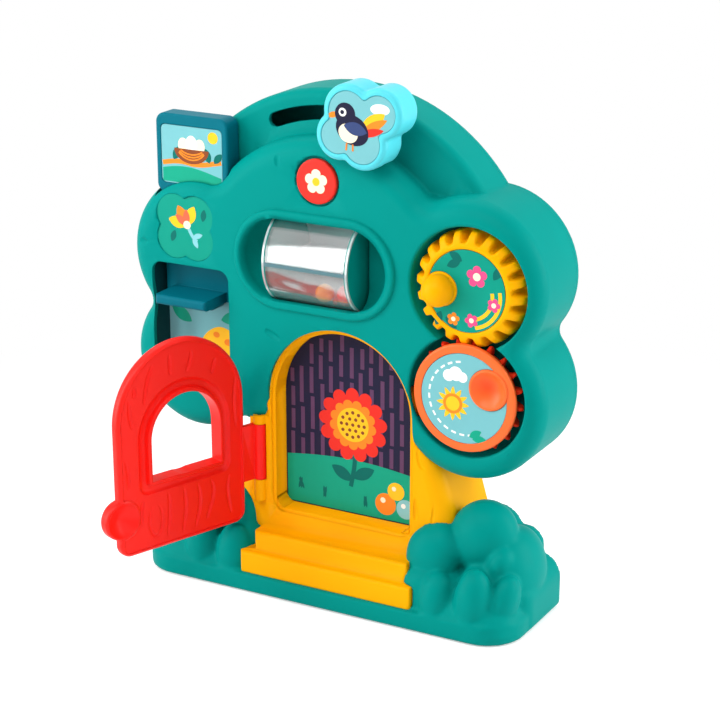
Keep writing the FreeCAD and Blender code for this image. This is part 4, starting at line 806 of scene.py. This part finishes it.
def lobeSurface(middle, halves, lean):
    # Egg on two angles, u from its top and v round it: x = a sin u cos v + z tan(lean),
    # y = b sin u sin v, z = c cos u.
    rows, columns, tip = 28, 40, 0.02
    u, v = np.meshgrid(np.linspace(tip, np.pi - tip, rows),
                       np.linspace(0, 2 * np.pi, columns, endpoint=False), indexing="ij")
    z = halves[2] * np.cos(u)
    x = halves[0] * np.sin(u) * np.cos(v) + z * np.tan(np.radians(lean))
    y = halves[1] * np.sin(u) * np.sin(v)
    points = np.stack([x, y, z], 2).reshape(-1, 3) + np.array(middle)
    faces = gridFaces(rows, columns, wrapColumns=True).tolist()
    return points, faces + [list(range(columns)), list(range((rows - 1) * columns, rows * columns))]


def dressBase():
    piece = mergedCopy("base_shell", "baseBushes")
    parts = [lobeSurface(*lobe) for lobe in baseLook["lobes"]]
    parts += [heapSurface(*heap, baseLook) for heap in baseLook["heaps"]]
    lobes = cutter("lobes", *joined(parts))
    heap = bmesh.new()
    heap.from_mesh(piece.data)
    heap.from_mesh(lobes.data)
    heap.to_mesh(piece.data)
    heap.free()
    bpy.data.objects.remove(lobes)
    remesh = piece.modifiers.new("even", "REMESH")
    remesh.mode = "VOXEL"
    remesh.voxel_size = baseLook["voxel"] * mm
    smooth = piece.modifiers.new("soft", "SMOOTH")
    smooth.factor = baseLook["smoothing"]
    smooth.iterations = baseLook["rounds"]
    settle(piece)
    smoothFaces(piece.data)
    paint(piece, "teal")


dressBase()
print("base softened")

# drum: dark seams between its half shells, bright rims at its ends
def tubeWall(radii, ends, halfAngle=180.0, facing=0.0, count=97):
    # Wall of a tube along X: the rectangle between two radii and two ends, carried round the drum's
    # axis at angle a from the front: y = axisY - r cos a, z = axisZ + r sin a.
    axisY, axisZ = drumLook["axis"]
    (inner, outer), (left, right) = radii, ends
    whole = halfAngle >= 180.0
    a = np.radians(facing + np.linspace(-1, 1, count) * halfAngle)[:count - whole, None]
    r, x = np.array([[outer, outer, inner, inner]]), np.array([[left, right, right, left]])
    y, z = axisY - r * np.cos(a), axisZ + r * np.sin(a)
    faces = gridFaces(len(a), 4, wrapRows=whole, wrapColumns=True).tolist()
    if not whole:
        faces += [[0, 1, 2, 3], [len(a) * 4 - k for k in (4, 3, 2, 1)]]
    return np.stack([np.broadcast_to(x, y.shape), y, z], 2).reshape(-1, 3), faces


def dressDrum():
    look = drumLook
    left, right = look["ends"]
    seams = [tubeWall(look["seamRadii"], (left + 1.0, right - 1.0), look["seamHalfAngle"], facing, 9)
             for facing in (0.0, 180.0)]
    crisp(makePiece("drumSeams", *joined(seams), "seam", "drum", "clear_plastic"))
    rims = [tubeWall(look["rimRadii"], ends) for ends in
            ((left - 0.1, left + look["rimWidth"]), (right - look["rimWidth"], right + 0.1))]
    crisp(makePiece("drumRims", *joined(rims), "tubeRim", "drum", "clear_plastic"))


dressDrum()
print("drum dressed")

# gears
gearLook = {
    "teeth": 20, "across": 256 * 5, "edgeAngle": 40,
    "upper": {"middle": (85.2, 211.5), "turn": 0.22, "share": 0.56, "softness": 0.75,
              # radius of the valley, radius of the ridge and depth, from the front's middle to the back
              "profile": [(0.0, 0.0, -15.0), (24.6, 24.6, -15.0), (24.9, 24.9, -15.2), (25.0, 25.0, -15.8),
                          (25.3, 25.3, -16.0), (27.2, 27.2, -16.0), (27.7, 27.9, -15.8), (28.2, 29.6, -15.3),
                          (28.3, 31.5, -14.3), (28.5, 33.2, -12.8), (28.6, 34.3, -11.0), (28.8, 34.9, -9.0),
                          (29.6, 35.2, -6.5), (31.5, 35.3, -4.4), (33.5, 35.3, -3.2), (34.6, 35.2, -2.6),
                          (34.6, 35.0, -2.2), (34.2, 34.4, -2.0), (7.4, 7.4, -2.0), (0.0, 0.0, -2.0)]},
    "lower": {"middle": (85.2, 146.5), "turn": 0.28, "share": 0.3, "softness": 0.5,
              "profile": [(0.0, 0.0, -11.0), (26.5, 31.0, -11.0), (27.9, 33.6, -10.9), (28.3, 34.8, -10.3),
                          (28.3, 35.3, -9.5), (28.3, 34.9, -8.0), (28.3, 34.0, -6.0), (28.2, 32.5, -4.0),
                          (27.9, 31.6, -3.3), (27.4, 30.8, -3.0), (7.4, 7.4, -3.0), (0.0, 0.0, -3.0)]},
    "knob": {"offset": (-16.4, -0.7), "centreDepth": -20.0, "radius": 9.7, "footRadius": 10.3,
             "footDepth": -15.96, "footLimit": 26.9, "sunk": -14.9},
    "print": {"radius": 24.5, "bite": 10.6, "front": -15.8, "back": -14.95},
}


def gearSurface(look):
    # Radius at angle t and profile row k = valley_k + (ridge_k - valley_k) * tooth(t), where
    # tooth rises and falls smoothly once for each of the teeth.
    angle = np.linspace(0, 2 * np.pi, gearLook["across"], endpoint=False)
    wave = np.cos(gearLook["teeth"] * angle - 2 * np.pi * look["turn"])
    edge = np.cos(np.pi * look["share"])
    ramp = np.clip((wave - edge) / look["softness"] / 2 + 0.5, 0, 1)
    tooth = ramp * ramp * (3 - 2 * ramp)
    rows = np.array(look["profile"])
    radius = rows[:, 0:1] + (rows[:, 1:2] - rows[:, 0:1]) * tooth[None, :]
    x = look["middle"][0] + radius * np.sin(angle)
    z = look["middle"][1] + radius * np.cos(angle)
    y = np.broadcast_to(rows[:, 2:3], radius.shape)
    points = np.stack([x, y, z], 2).reshape(-1, 3)
    return points, gridFaces(len(rows), len(angle), wrapColumns=True)


def knobSurface(middle):
    # Ball whose profile turns about the depth axis and flares into a flat foot; at angle a the foot
    # reaches the lesser of footRadius and the way to the gear's own circle of radius footLimit.
    look = gearLook["knob"]
    dx, dz = look["offset"]
    a = np.linspace(0, 2 * np.pi, 96, endpoint=False)[None, :]
    along = dx * np.cos(a) + dz * np.sin(a)
    reach = -along + np.sqrt(along ** 2 - dx * dx - dz * dz + look["footLimit"] ** 2)
    foot = np.minimum(look["footRadius"], reach)
    t = np.linspace(0, np.radians(104), 30)
    ballRadius = look["radius"] * np.sin(t)
    ballDepth = look["centreDepth"] - look["radius"] * np.cos(t)
    s = np.linspace(0, 1, 8)[1:, None]
    waist = ballRadius[-1]
    flareRadius = waist + (np.minimum(foot, waist + 1.6) - waist) * (1 - np.sqrt(1 - s * s))
    flareDepth = ballDepth[-1] + (look["footDepth"] - ballDepth[-1]) * s
    radius = np.concatenate([np.broadcast_to(ballRadius[:, None], (len(t), a.size)), flareRadius,
                             foot - 0.15, foot, foot, foot * 0.0])
    level = np.r_[ballDepth, flareDepth[:, 0], look["footDepth"], look["footDepth"] + 0.15,
                  look["sunk"], look["sunk"]]
    x, z = middle[0] + dx + radius * np.cos(a), middle[1] + dz + radius * np.sin(a)
    y = np.broadcast_to(level[:, None], x.shape)
    return np.stack([x, y, z], 2).reshape(-1, 3), gridFaces(len(level), a.size, wrapColumns=True)


def dressUpperGear():
    look = gearLook["upper"]
    wheel = makePiece("upperGearRidges", *gearSurface(look), "yellow", "gear_upper", "yellow_plastic")
    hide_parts("upper_gear")
    knob = makePiece("upperGearKnob", *knobSurface(look["middle"]), "yellow", "gear_upper",
                     "yellow_plastic")
    crisp(wheel, gearLook["edgeAngle"])
    crisp(knob, gearLook["edgeAngle"])


def dressLowerGear():
    wheel = makePiece("lowerGearRidges", *gearSurface(gearLook["lower"]), "teeth", "gear_lower",
                      "red_orange_plastic")
    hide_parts("lower_gear_wheel")
    crisp(wheel, gearLook["edgeAngle"])


def dressUpperPrint():
    # Round label with a bite where the knob stands.
    look, (x, z) = gearLook["print"], gearLook["upper"]["middle"]
    dx, dz = gearLook["knob"]["offset"]
    outline = crescent(x, z, look["radius"], x + dx, z + dz, look["bite"])
    film = makePiece("upperGearPrint", *slabOf(outline, look["front"], look["back"]), "leafGreen",
                     "gear_upper", "print_green")
    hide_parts("upper_gear_label")
    crisp(film)


dressUpperGear()
dressLowerGear()
dressUpperPrint()
print("gears made")

# pictures on the labels
inks = {
    "cream": "#FFF1CF", "pink": "#F0528A", "red": "#E8352B", "orange": "#F58A2A", "yellow": "#FFC62A",
    "green": "#17A384", "deepGreen": "#0A6B62", "sky": "#86CAD2", "purple": "#614263", "navy": "#23233B",
    "white": "#F7F7F2", "brown": "#8A4A2B", "coral": "#F4694B", "blue": "#3B4A78",
}
# depth of each label's printed face
labelFace = {"card": -8.8, "window": 3.5, "leaf": -13.8, "badge": -15.3, "bird": -23.8,
             "upperGear": -15.8, "lowerGear": -16.8}
doorwayLook = {"face": 2.0, "half": 45.9, "bottom": 50.8, "spring": 123.5, "columns": 13, "dashWidth": 2.7,
               "hillTop": 82.0, "hillSwell": 4.0, "flower": (1.0, 109.0, 24.0), "petals": 13}


def hill(left, right, bottom, top, swell, phase=0.0, count=40):
    x = np.linspace(left, right, count)
    z = top + swell * np.sin((x - left) / (right - left) * np.pi + phase)
    return np.concatenate([[(left, bottom)], np.stack([x, z], 1), [(right, bottom)]])[::-1]


def leaves(ink, rows):
    return [(leaf(*row), ink) for row in rows]


def discs(ink, rows, count=40):
    return [(disc(*row, count=count), ink) for row in rows]


def doorwayPicture():
    look = doorwayLook
    rng = np.random.default_rng(11)
    dashes = []
    for x in np.linspace(-look["half"] + 4, look["half"] - 4, look["columns"]):
        roof = look["spring"] + np.sqrt(max(look["half"] ** 2 - x * x, 0)) - 3
        z = look["hillTop"] - 3 + rng.uniform(0, 9)
        while z < roof - 7:
            length = min(rng.uniform(11, 24), roof - z)
            dash = bar(x + rng.uniform(-0.6, 0.6), z + length / 2, look["dashWidth"], length)
            dashes.append((dash, "purple"))
            z += length + rng.uniform(2.0, 3.5)
    ground = [(hill(-look["half"], look["half"], look["bottom"], look["hillTop"], look["hillSwell"]),
               "green")]
    fx, fz, fr = look["flower"]
    stem = ribbon(rounded([(fx, fz - 12), (fx + 2.0, 86), (fx - 1.5, 68)]), 3.0)
    tufts = [(x, z, 8, 2.2, turn) for x, z, turn in
             ((-38, 60, 70), (-36, 60, 95), (-34, 60, 118), (-20, 57, 75), (-18.5, 57, 100),
              (9, 56, 80), (11, 56, 105))]
    plants = [(stem, "deepGreen"),
              *leaves("deepGreen", [(fx, 74, 17, 8, 28), (fx, 72, 17, 8, 152), *tufts])]
    balls = [(disc(24, 61, 7.2), "orange"), (disc(38, 60, 6.4), "sky")]
    top = [(flower(fx, fz, fr, look["petals"], 0.2, 8), "red"), (disc(31.2, 70.6, 5.8), "yellow"),
           (disc(22.2, 63.4, 1.8), "cream"), (disc(36.4, 62.0, 1.6), "white")]
    ring = [(flower(fx, fz, fr * 0.68, look["petals"], 0.16, 22), "orange"),
            (disc(29.8, 72.2, 1.5), "cream")]
    heart = [(disc(fx, fz, fr * 0.46), "yellow")]
    seeds = [(disc(fx + r * np.cos(a), fz + r * np.sin(a), 1.15, count=16), "brown")
             for r, n in ((0.01, 1), (4.2, 6), (8.0, 12))
             for a in np.linspace(0, 2 * np.pi, n, endpoint=False)]
    makePicture("doorwayPicture", look["face"], [dashes, ground, plants, balls, top, ring, heart, seeds],
                "tree")


def cardPicture():
    left, right, bottom = -126.2, -83.8, 250.6
    ground = [(hill(left, right, bottom, 257.5, 3.4, 0.4), "green"),
              (disc(-89.5, 280.6, 3.6), "yellow")]
    twig = ribbon(rounded([(left, 262.0), (-114, 264.4), (-101, 262.2), (right, 266.0)]), 3.0)
    leafRows = [(-118, 264.5, 9.5, 5.2, 64), (-92, 264.6, 9.5, 5.2, 110), (-89, 265.0, 8.5, 4.6, 48)]
    branch = [(twig, "orange"), *leaves("deepGreen", leafRows)]
    eggs = discs("cream", [(-110.6, 273.6, 3.9, 5.2, 12), (-99.4, 273.6, 3.9, 5.2, -12)])
    middle = [(disc(-105, 275.0, 4.1, 5.6), "white")]
    t = np.radians(np.linspace(180, 360, 30))
    bowl = np.stack([-105 + 12.4 * np.cos(t), 272.0 + 9.0 * np.sin(t)], 1)
    nest = [(bowl, "brown")]
    straw = [(ribbon(arc(-105, 280 + k, 13.0 + 0.4 * k, 228 + 3 * k, 312 - 3 * k), 0.9), "orange")
             for k in (-2.6, 0.2, 3.0)]
    makePicture("cardPicture", labelFace["card"], [ground, branch, eggs, middle, nest, straw],
                "slider")


def windowPicture():
    left, right, bottom = -132.4, -77.6, 122.6
    mound = np.array([(-116, bottom), (-113, 140), (-106, 152), (-96, 158), (-86, 155), (right, 148),
                      (right, bottom)])
    bush = [(leaf(x, z, length, length * 0.5, turn), ink) for x, z, length, turn, ink in
            ((-131, 176, 17, 20, "deepGreen"), (-131, 166, 17, -30, "green"),
             (-122, 182, 15, -10, "deepGreen"), (-80, 176, 17, 160, "deepGreen"),
             (-79, 166, 16, 196, "green"), (-130, 136, 18, 30, "deepGreen"),
             (-129, 130, 14, -6, "green"), (-92, 186, 12, 150, "green"))]
    branch = [(ribbon(rounded([(left, 191), (-120, 189), (-104, 191), (right, 187)]), 2.6), "orange")]
    ground = [(rounded(mound, 2), "yellow")]
    spots = [(disc(x, z, r, r * 0.8, count=24), "orange") for x, z, r in
             ((-106.0, 144.0, 2.8), (-98.0, 151.5, 2.4), (-89.5, 147.6, 2.8), (-97.5, 139.0, 2.4),
              (-83.0, 139.0, 2.6), (-108.0, 132.0, 2.6), (-91.0, 130.5, 2.4))]
    makePicture("windowPicture", labelFace["window"], [bush, branch, ground, spots], "tree")


def leafPicture():
    stem = [(ribbon(rounded([(-99.4, 216.0), (-103.0, 219.0), (-106.0, 225.0)]), 2.2), "sky"),
            *leaves("deepGreen", [(-118, 214, 8.0, 4.0, 70), (-95, 229, 8.0, 4.0, 80)]),
            *leaves("sky", [(-102.4, 218.4, 7.4, 3.4, turn) for turn in (18, -62)])]
    petals = [(leaf(-106.5, 225.5, 13.5, 7.4, turn), ink) for turn, ink in
              ((168, "yellow"), (118, "orange"), (66, "yellow"))]
    between = leaves("coral", [(-106.5, 225.5, 10.0, 4.8, turn) for turn in (143, 92)])
    heart = [(disc(-106.4, 225.8, 2.6), "cream")]
    makePicture("leafPicture", labelFace["leaf"], [stem, petals, between, heart], "tree")


def badgePicture():
    ring = [(flower(-14, 264, 7.6, 5, 0.34, 90), "cream")]
    heart = [(disc(-14, 264, 2.5), "yellow")]
    makePicture("badgePicture", labelFace["badge"], [ring, heart], "tree")


def birdPicture():
    cloud = [(disc(33.0, 313.0, 6.2, 3.2), "white"), (leaf(20, 299, 20, 8.5, 36), "yellow")]
    tail = [(leaf(20, 298, 20, 5.4, 28), "orange"), (leaf(19, 297, 17, 4.8, 14), "red")]
    body = [(disc(15.0, 299.5, 11.0, 8.6, -24), "navy"), (leaf(6.5, 308.5, 8.5, 3.4, 196), "orange")]
    head = [(disc(10.4, 308.4, 6.6), "navy"), (disc(12.4, 297.4, 6.4, 5.4, -24), "cream")]
    wing = [(leaf(9.5, 302.0, 15.5, 7.6, -12), "blue"), (disc(8.8, 309.4, 2.5), "white")]
    eye = [(disc(8.6, 309.4, 1.25), "navy"), (ribbon([(11.5, 291.6), (11.0, 287.4)], 1.0), "orange"),
           (ribbon([(15.5, 291.2), (15.4, 287.2)], 1.0), "orange")]
    makePicture("birdPicture", labelFace["bird"], [cloud, tail, body, head, wing, eye], "bird")


def upperGearPicture():
    cx, cz = gearLook["upper"]["middle"]
    bands = [(ribbon(arc(cx + 2, cz - 2, r, -78, 12), 2.2), "yellow") for r in (19.5, 14.6)]
    bands += leaves("deepGreen", [(cx + x, cz + z, 9.5, 5.0, turn) for x, z, turn in
                                  ((-4, 17.5, 205), (-3, 17.5, 150), (17, 9, 60), (-16, -14, 250),
                                   (-13, -17, 320))])
    blooms = [(flower(cx + x, cz + z, r, 5, 0.4, turn), ink) for x, z, r, turn, ink in
              ((6.5, 9.5, 6.6, 18, "pink"), (17.5, -6.0, 4.2, 0, "pink"), (3.6, -17.0, 4.2, 40, "pink"),
               (-8.0, -17.6, 4.0, 10, "orange"))]
    hearts = discs("cream", [(cx + x, cz + z, r) for x, z, r in
                             ((6.5, 9.5, 2.4), (17.5, -6.0, 1.5), (3.6, -17.0, 1.5),
                              (-8.0, -17.6, 1.4))], 24)
    makePicture("upperGearPicture", labelFace["upperGear"], [bands, blooms, hearts], "gear_upper")


def lowerGearPicture():
    cx, cz = gearLook["lower"]["middle"]
    dashes = [(ribbon(arc(cx, cz, 22.5, a, a + 8, 6), 1.2), "white") for a in range(96, 300, 14)]
    dashes += leaves("green", [(cx + 4, cz - 23, 9.0, 4.6, 30), (cx + 6, cz - 24, 9.0, 4.6, 5)])
    rays = leaves("yellow", [(cx - 7, cz - 4, 10.6, 3.2, turn) for turn in range(0, 360, 30)])
    cloud = discs("white", [(cx - 10, cz + 13, 3.6), (cx - 5.4, cz + 14.6, 4.4), (cx - 1, cz + 13, 3.2)])
    sun = [(disc(cx - 7, cz - 4, 6.2), "orange")]
    face = [(disc(cx - 7, cz - 4, 4.4), "yellow")]
    makePicture("lowerGearPicture", labelFace["lowerGear"], [dashes, rays, cloud, sun, face],
                "gear_lower")


doorwayPicture()
cardPicture()
windowPicture()
leafPicture()
badgePicture()
birdPicture()
upperGearPicture()
lowerGearPicture()
print("pictures printed")

# camera, lamps, floor
viewLook = {
    "target": (0.015, -0.0145, 0.1412), "distance": 1.2426, "turn": 28.8, "raise": 19.4,
    "lens": 103.55, "sensor": 36.0, "shiftUp": 0.0375,
}
# place = metres to the right of, above and towards the camera from the target
lampLook = {
    "keySoftbox": {"place": (-0.45, 0.85, 1.1), "size": (0.9, 0.7), "power": 9.0},
    "fillSoftbox": {"place": (0.75, 0.25, 1.2), "size": (0.9, 1.1), "power": 3.2},
    "leftStrip": {"place": (-1.15, 0.25, 0.2), "size": (0.35, 1.3), "power": 10.0},
    "rightStrip": {"place": (1.15, 0.2, 0.15), "size": (0.4, 1.3), "power": 15.0},
    "drumStrip": {"place": (-0.63, 0.13, 0.42), "size": (0.12, 0.8), "power": 1.1},
    "topPanel": {"place": (0.0, 1.25, -0.1), "size": (1.3, 0.6), "power": 6.0},
}
# metres for the floor's sizes
worldLook = {
    "surround": 0.3, "floorReach": 0.55, "floorFade": 0.5, "floorLift": 0.4,
    "floorHalf": 6.0, "floorDrop": 0.0002,
    "paper": {"Base Color": (0.86, 0.86, 0.86, 1.0), "Roughness": 0.75, "Specular IOR Level": 0.1},
}

target = np.array(viewLook["target"])
turn, rise = np.radians(viewLook["turn"]), np.radians(viewLook["raise"])
rightWay = np.array([np.cos(turn), np.sin(turn), 0.0])
towards = np.array([np.sin(turn) * np.cos(rise), -np.cos(turn) * np.cos(rise), np.sin(rise)])
upWay = np.cross(towards, rightWay)


def placeCamera():
    camera = bpy.data.cameras.new("photoCamera")
    camera.lens = viewLook["lens"]
    camera.sensor_width = viewLook["sensor"]
    camera.sensor_fit = "HORIZONTAL"
    camera.shift_y = viewLook["shiftUp"]
    camera.clip_start, camera.clip_end = 0.05, 50.0
    holder = inScene("photoCamera", camera)
    pose = np.eye(4)
    pose[:3, 0], pose[:3, 1], pose[:3, 2] = rightWay, upWay, towards
    pose[:3, 3] = target + viewLook["distance"] * towards
    holder.matrix_world = Matrix(pose.tolist())
    bpy.context.scene.camera = holder


def placeLamps():
    for name, look in lampLook.items():
        lamp = bpy.data.lights.new(name, "AREA")
        lamp.shape = "RECTANGLE"
        lamp.size, lamp.size_y = look["size"]
        lamp.energy = look["power"]
        holder = inScene(name, lamp)
        a, b, c = look["place"]
        place = Vector((target + a * rightWay + b * upWay + c * towards).tolist())
        holder.location = place
        holder.rotation_euler = (Vector(target.tolist()) - place).to_track_quat("-Z", "Y").to_euler()


def seenDirectly(tree):
    # 1 for rays from the camera, from gloss and through clear plastic.
    path = addNode(tree, "ShaderNodeLightPath")
    first = addNode(tree, "ShaderNodeMath", operation="MAXIMUM")
    second = addNode(tree, "ShaderNodeMath", operation="MAXIMUM")
    tree.links.new(path.outputs["Is Camera Ray"], first.inputs[0])
    tree.links.new(path.outputs["Is Glossy Ray"], first.inputs[1])
    tree.links.new(first.outputs[0], second.inputs[0])
    tree.links.new(path.outputs["Is Transmission Ray"], second.inputs[1])
    return second.outputs[0]


def lightWorld():
    world = bpy.data.worlds.new("studio")
    bpy.context.scene.world = world
    world.use_nodes = True
    tree = world.node_tree
    surround = tree.nodes["Background"]
    setSockets(surround, {"Color": white, "Strength": worldLook["surround"]})
    seen = addNode(tree, "ShaderNodeBackground", Color=white, Strength=1.0)
    both = mixedShader(tree, seenDirectly(tree), surround.outputs["Background"],
                       seen.outputs["Background"])
    tree.links.new(both, tree.nodes["World Output"].inputs["Surface"])


def layFloor():
    # White floor whose shadow stays near the toy and fades into the white backdrop further out.
    look = worldLook
    reach, level = look["floorHalf"], -look["floorDrop"]
    mesh = bpy.data.meshes.new("floor")
    mesh.from_pydata([(-reach, -reach, level), (reach, -reach, level), (reach, reach, level),
                      (-reach, reach, level)], [], [(0, 1, 2, 3)])
    floor = inScene("floor", mesh)
    material, tree, shader = newMaterial("floorPaper")
    setSockets(shader, look["paper"])
    lift = addNode(tree, "ShaderNodeEmission", Color=white, Strength=look["floorLift"])
    add = addNode(tree, "ShaderNodeAddShader")
    tree.links.new(shader.outputs["BSDF"], add.inputs[0])
    tree.links.new(lift.outputs["Emission"], add.inputs[1])
    glow = addNode(tree, "ShaderNodeEmission", Color=white, Strength=1.0)
    place = addNode(tree, "ShaderNodeTexCoord")
    length = addNode(tree, "ShaderNodeVectorMath", operation="LENGTH")
    tree.links.new(place.outputs["Object"], length.inputs[0])
    fade = addNode(tree, "ShaderNodeMapRange", interpolation_type="SMOOTHSTEP")
    setSockets(fade, {"From Min": look["floorReach"] - look["floorFade"], "From Max": look["floorReach"]})
    tree.links.new(length.outputs["Value"], fade.inputs["Value"])
    far = mixedShader(tree, fade.outputs["Result"], add.outputs["Shader"], glow.outputs["Emission"])
    both = mixedShader(tree, seenDirectly(tree), shader.outputs["BSDF"], far)
    tree.links.new(both, tree.nodes["Material Output"].inputs["Surface"])
    mesh.materials.append(material)


placeCamera()
placeLamps()
lightWorld()
layFloor()
bpy.context.scene.view_settings.view_transform = "Standard"
print("camera, lamps and floor set")


bpy.context.view_layer.update()
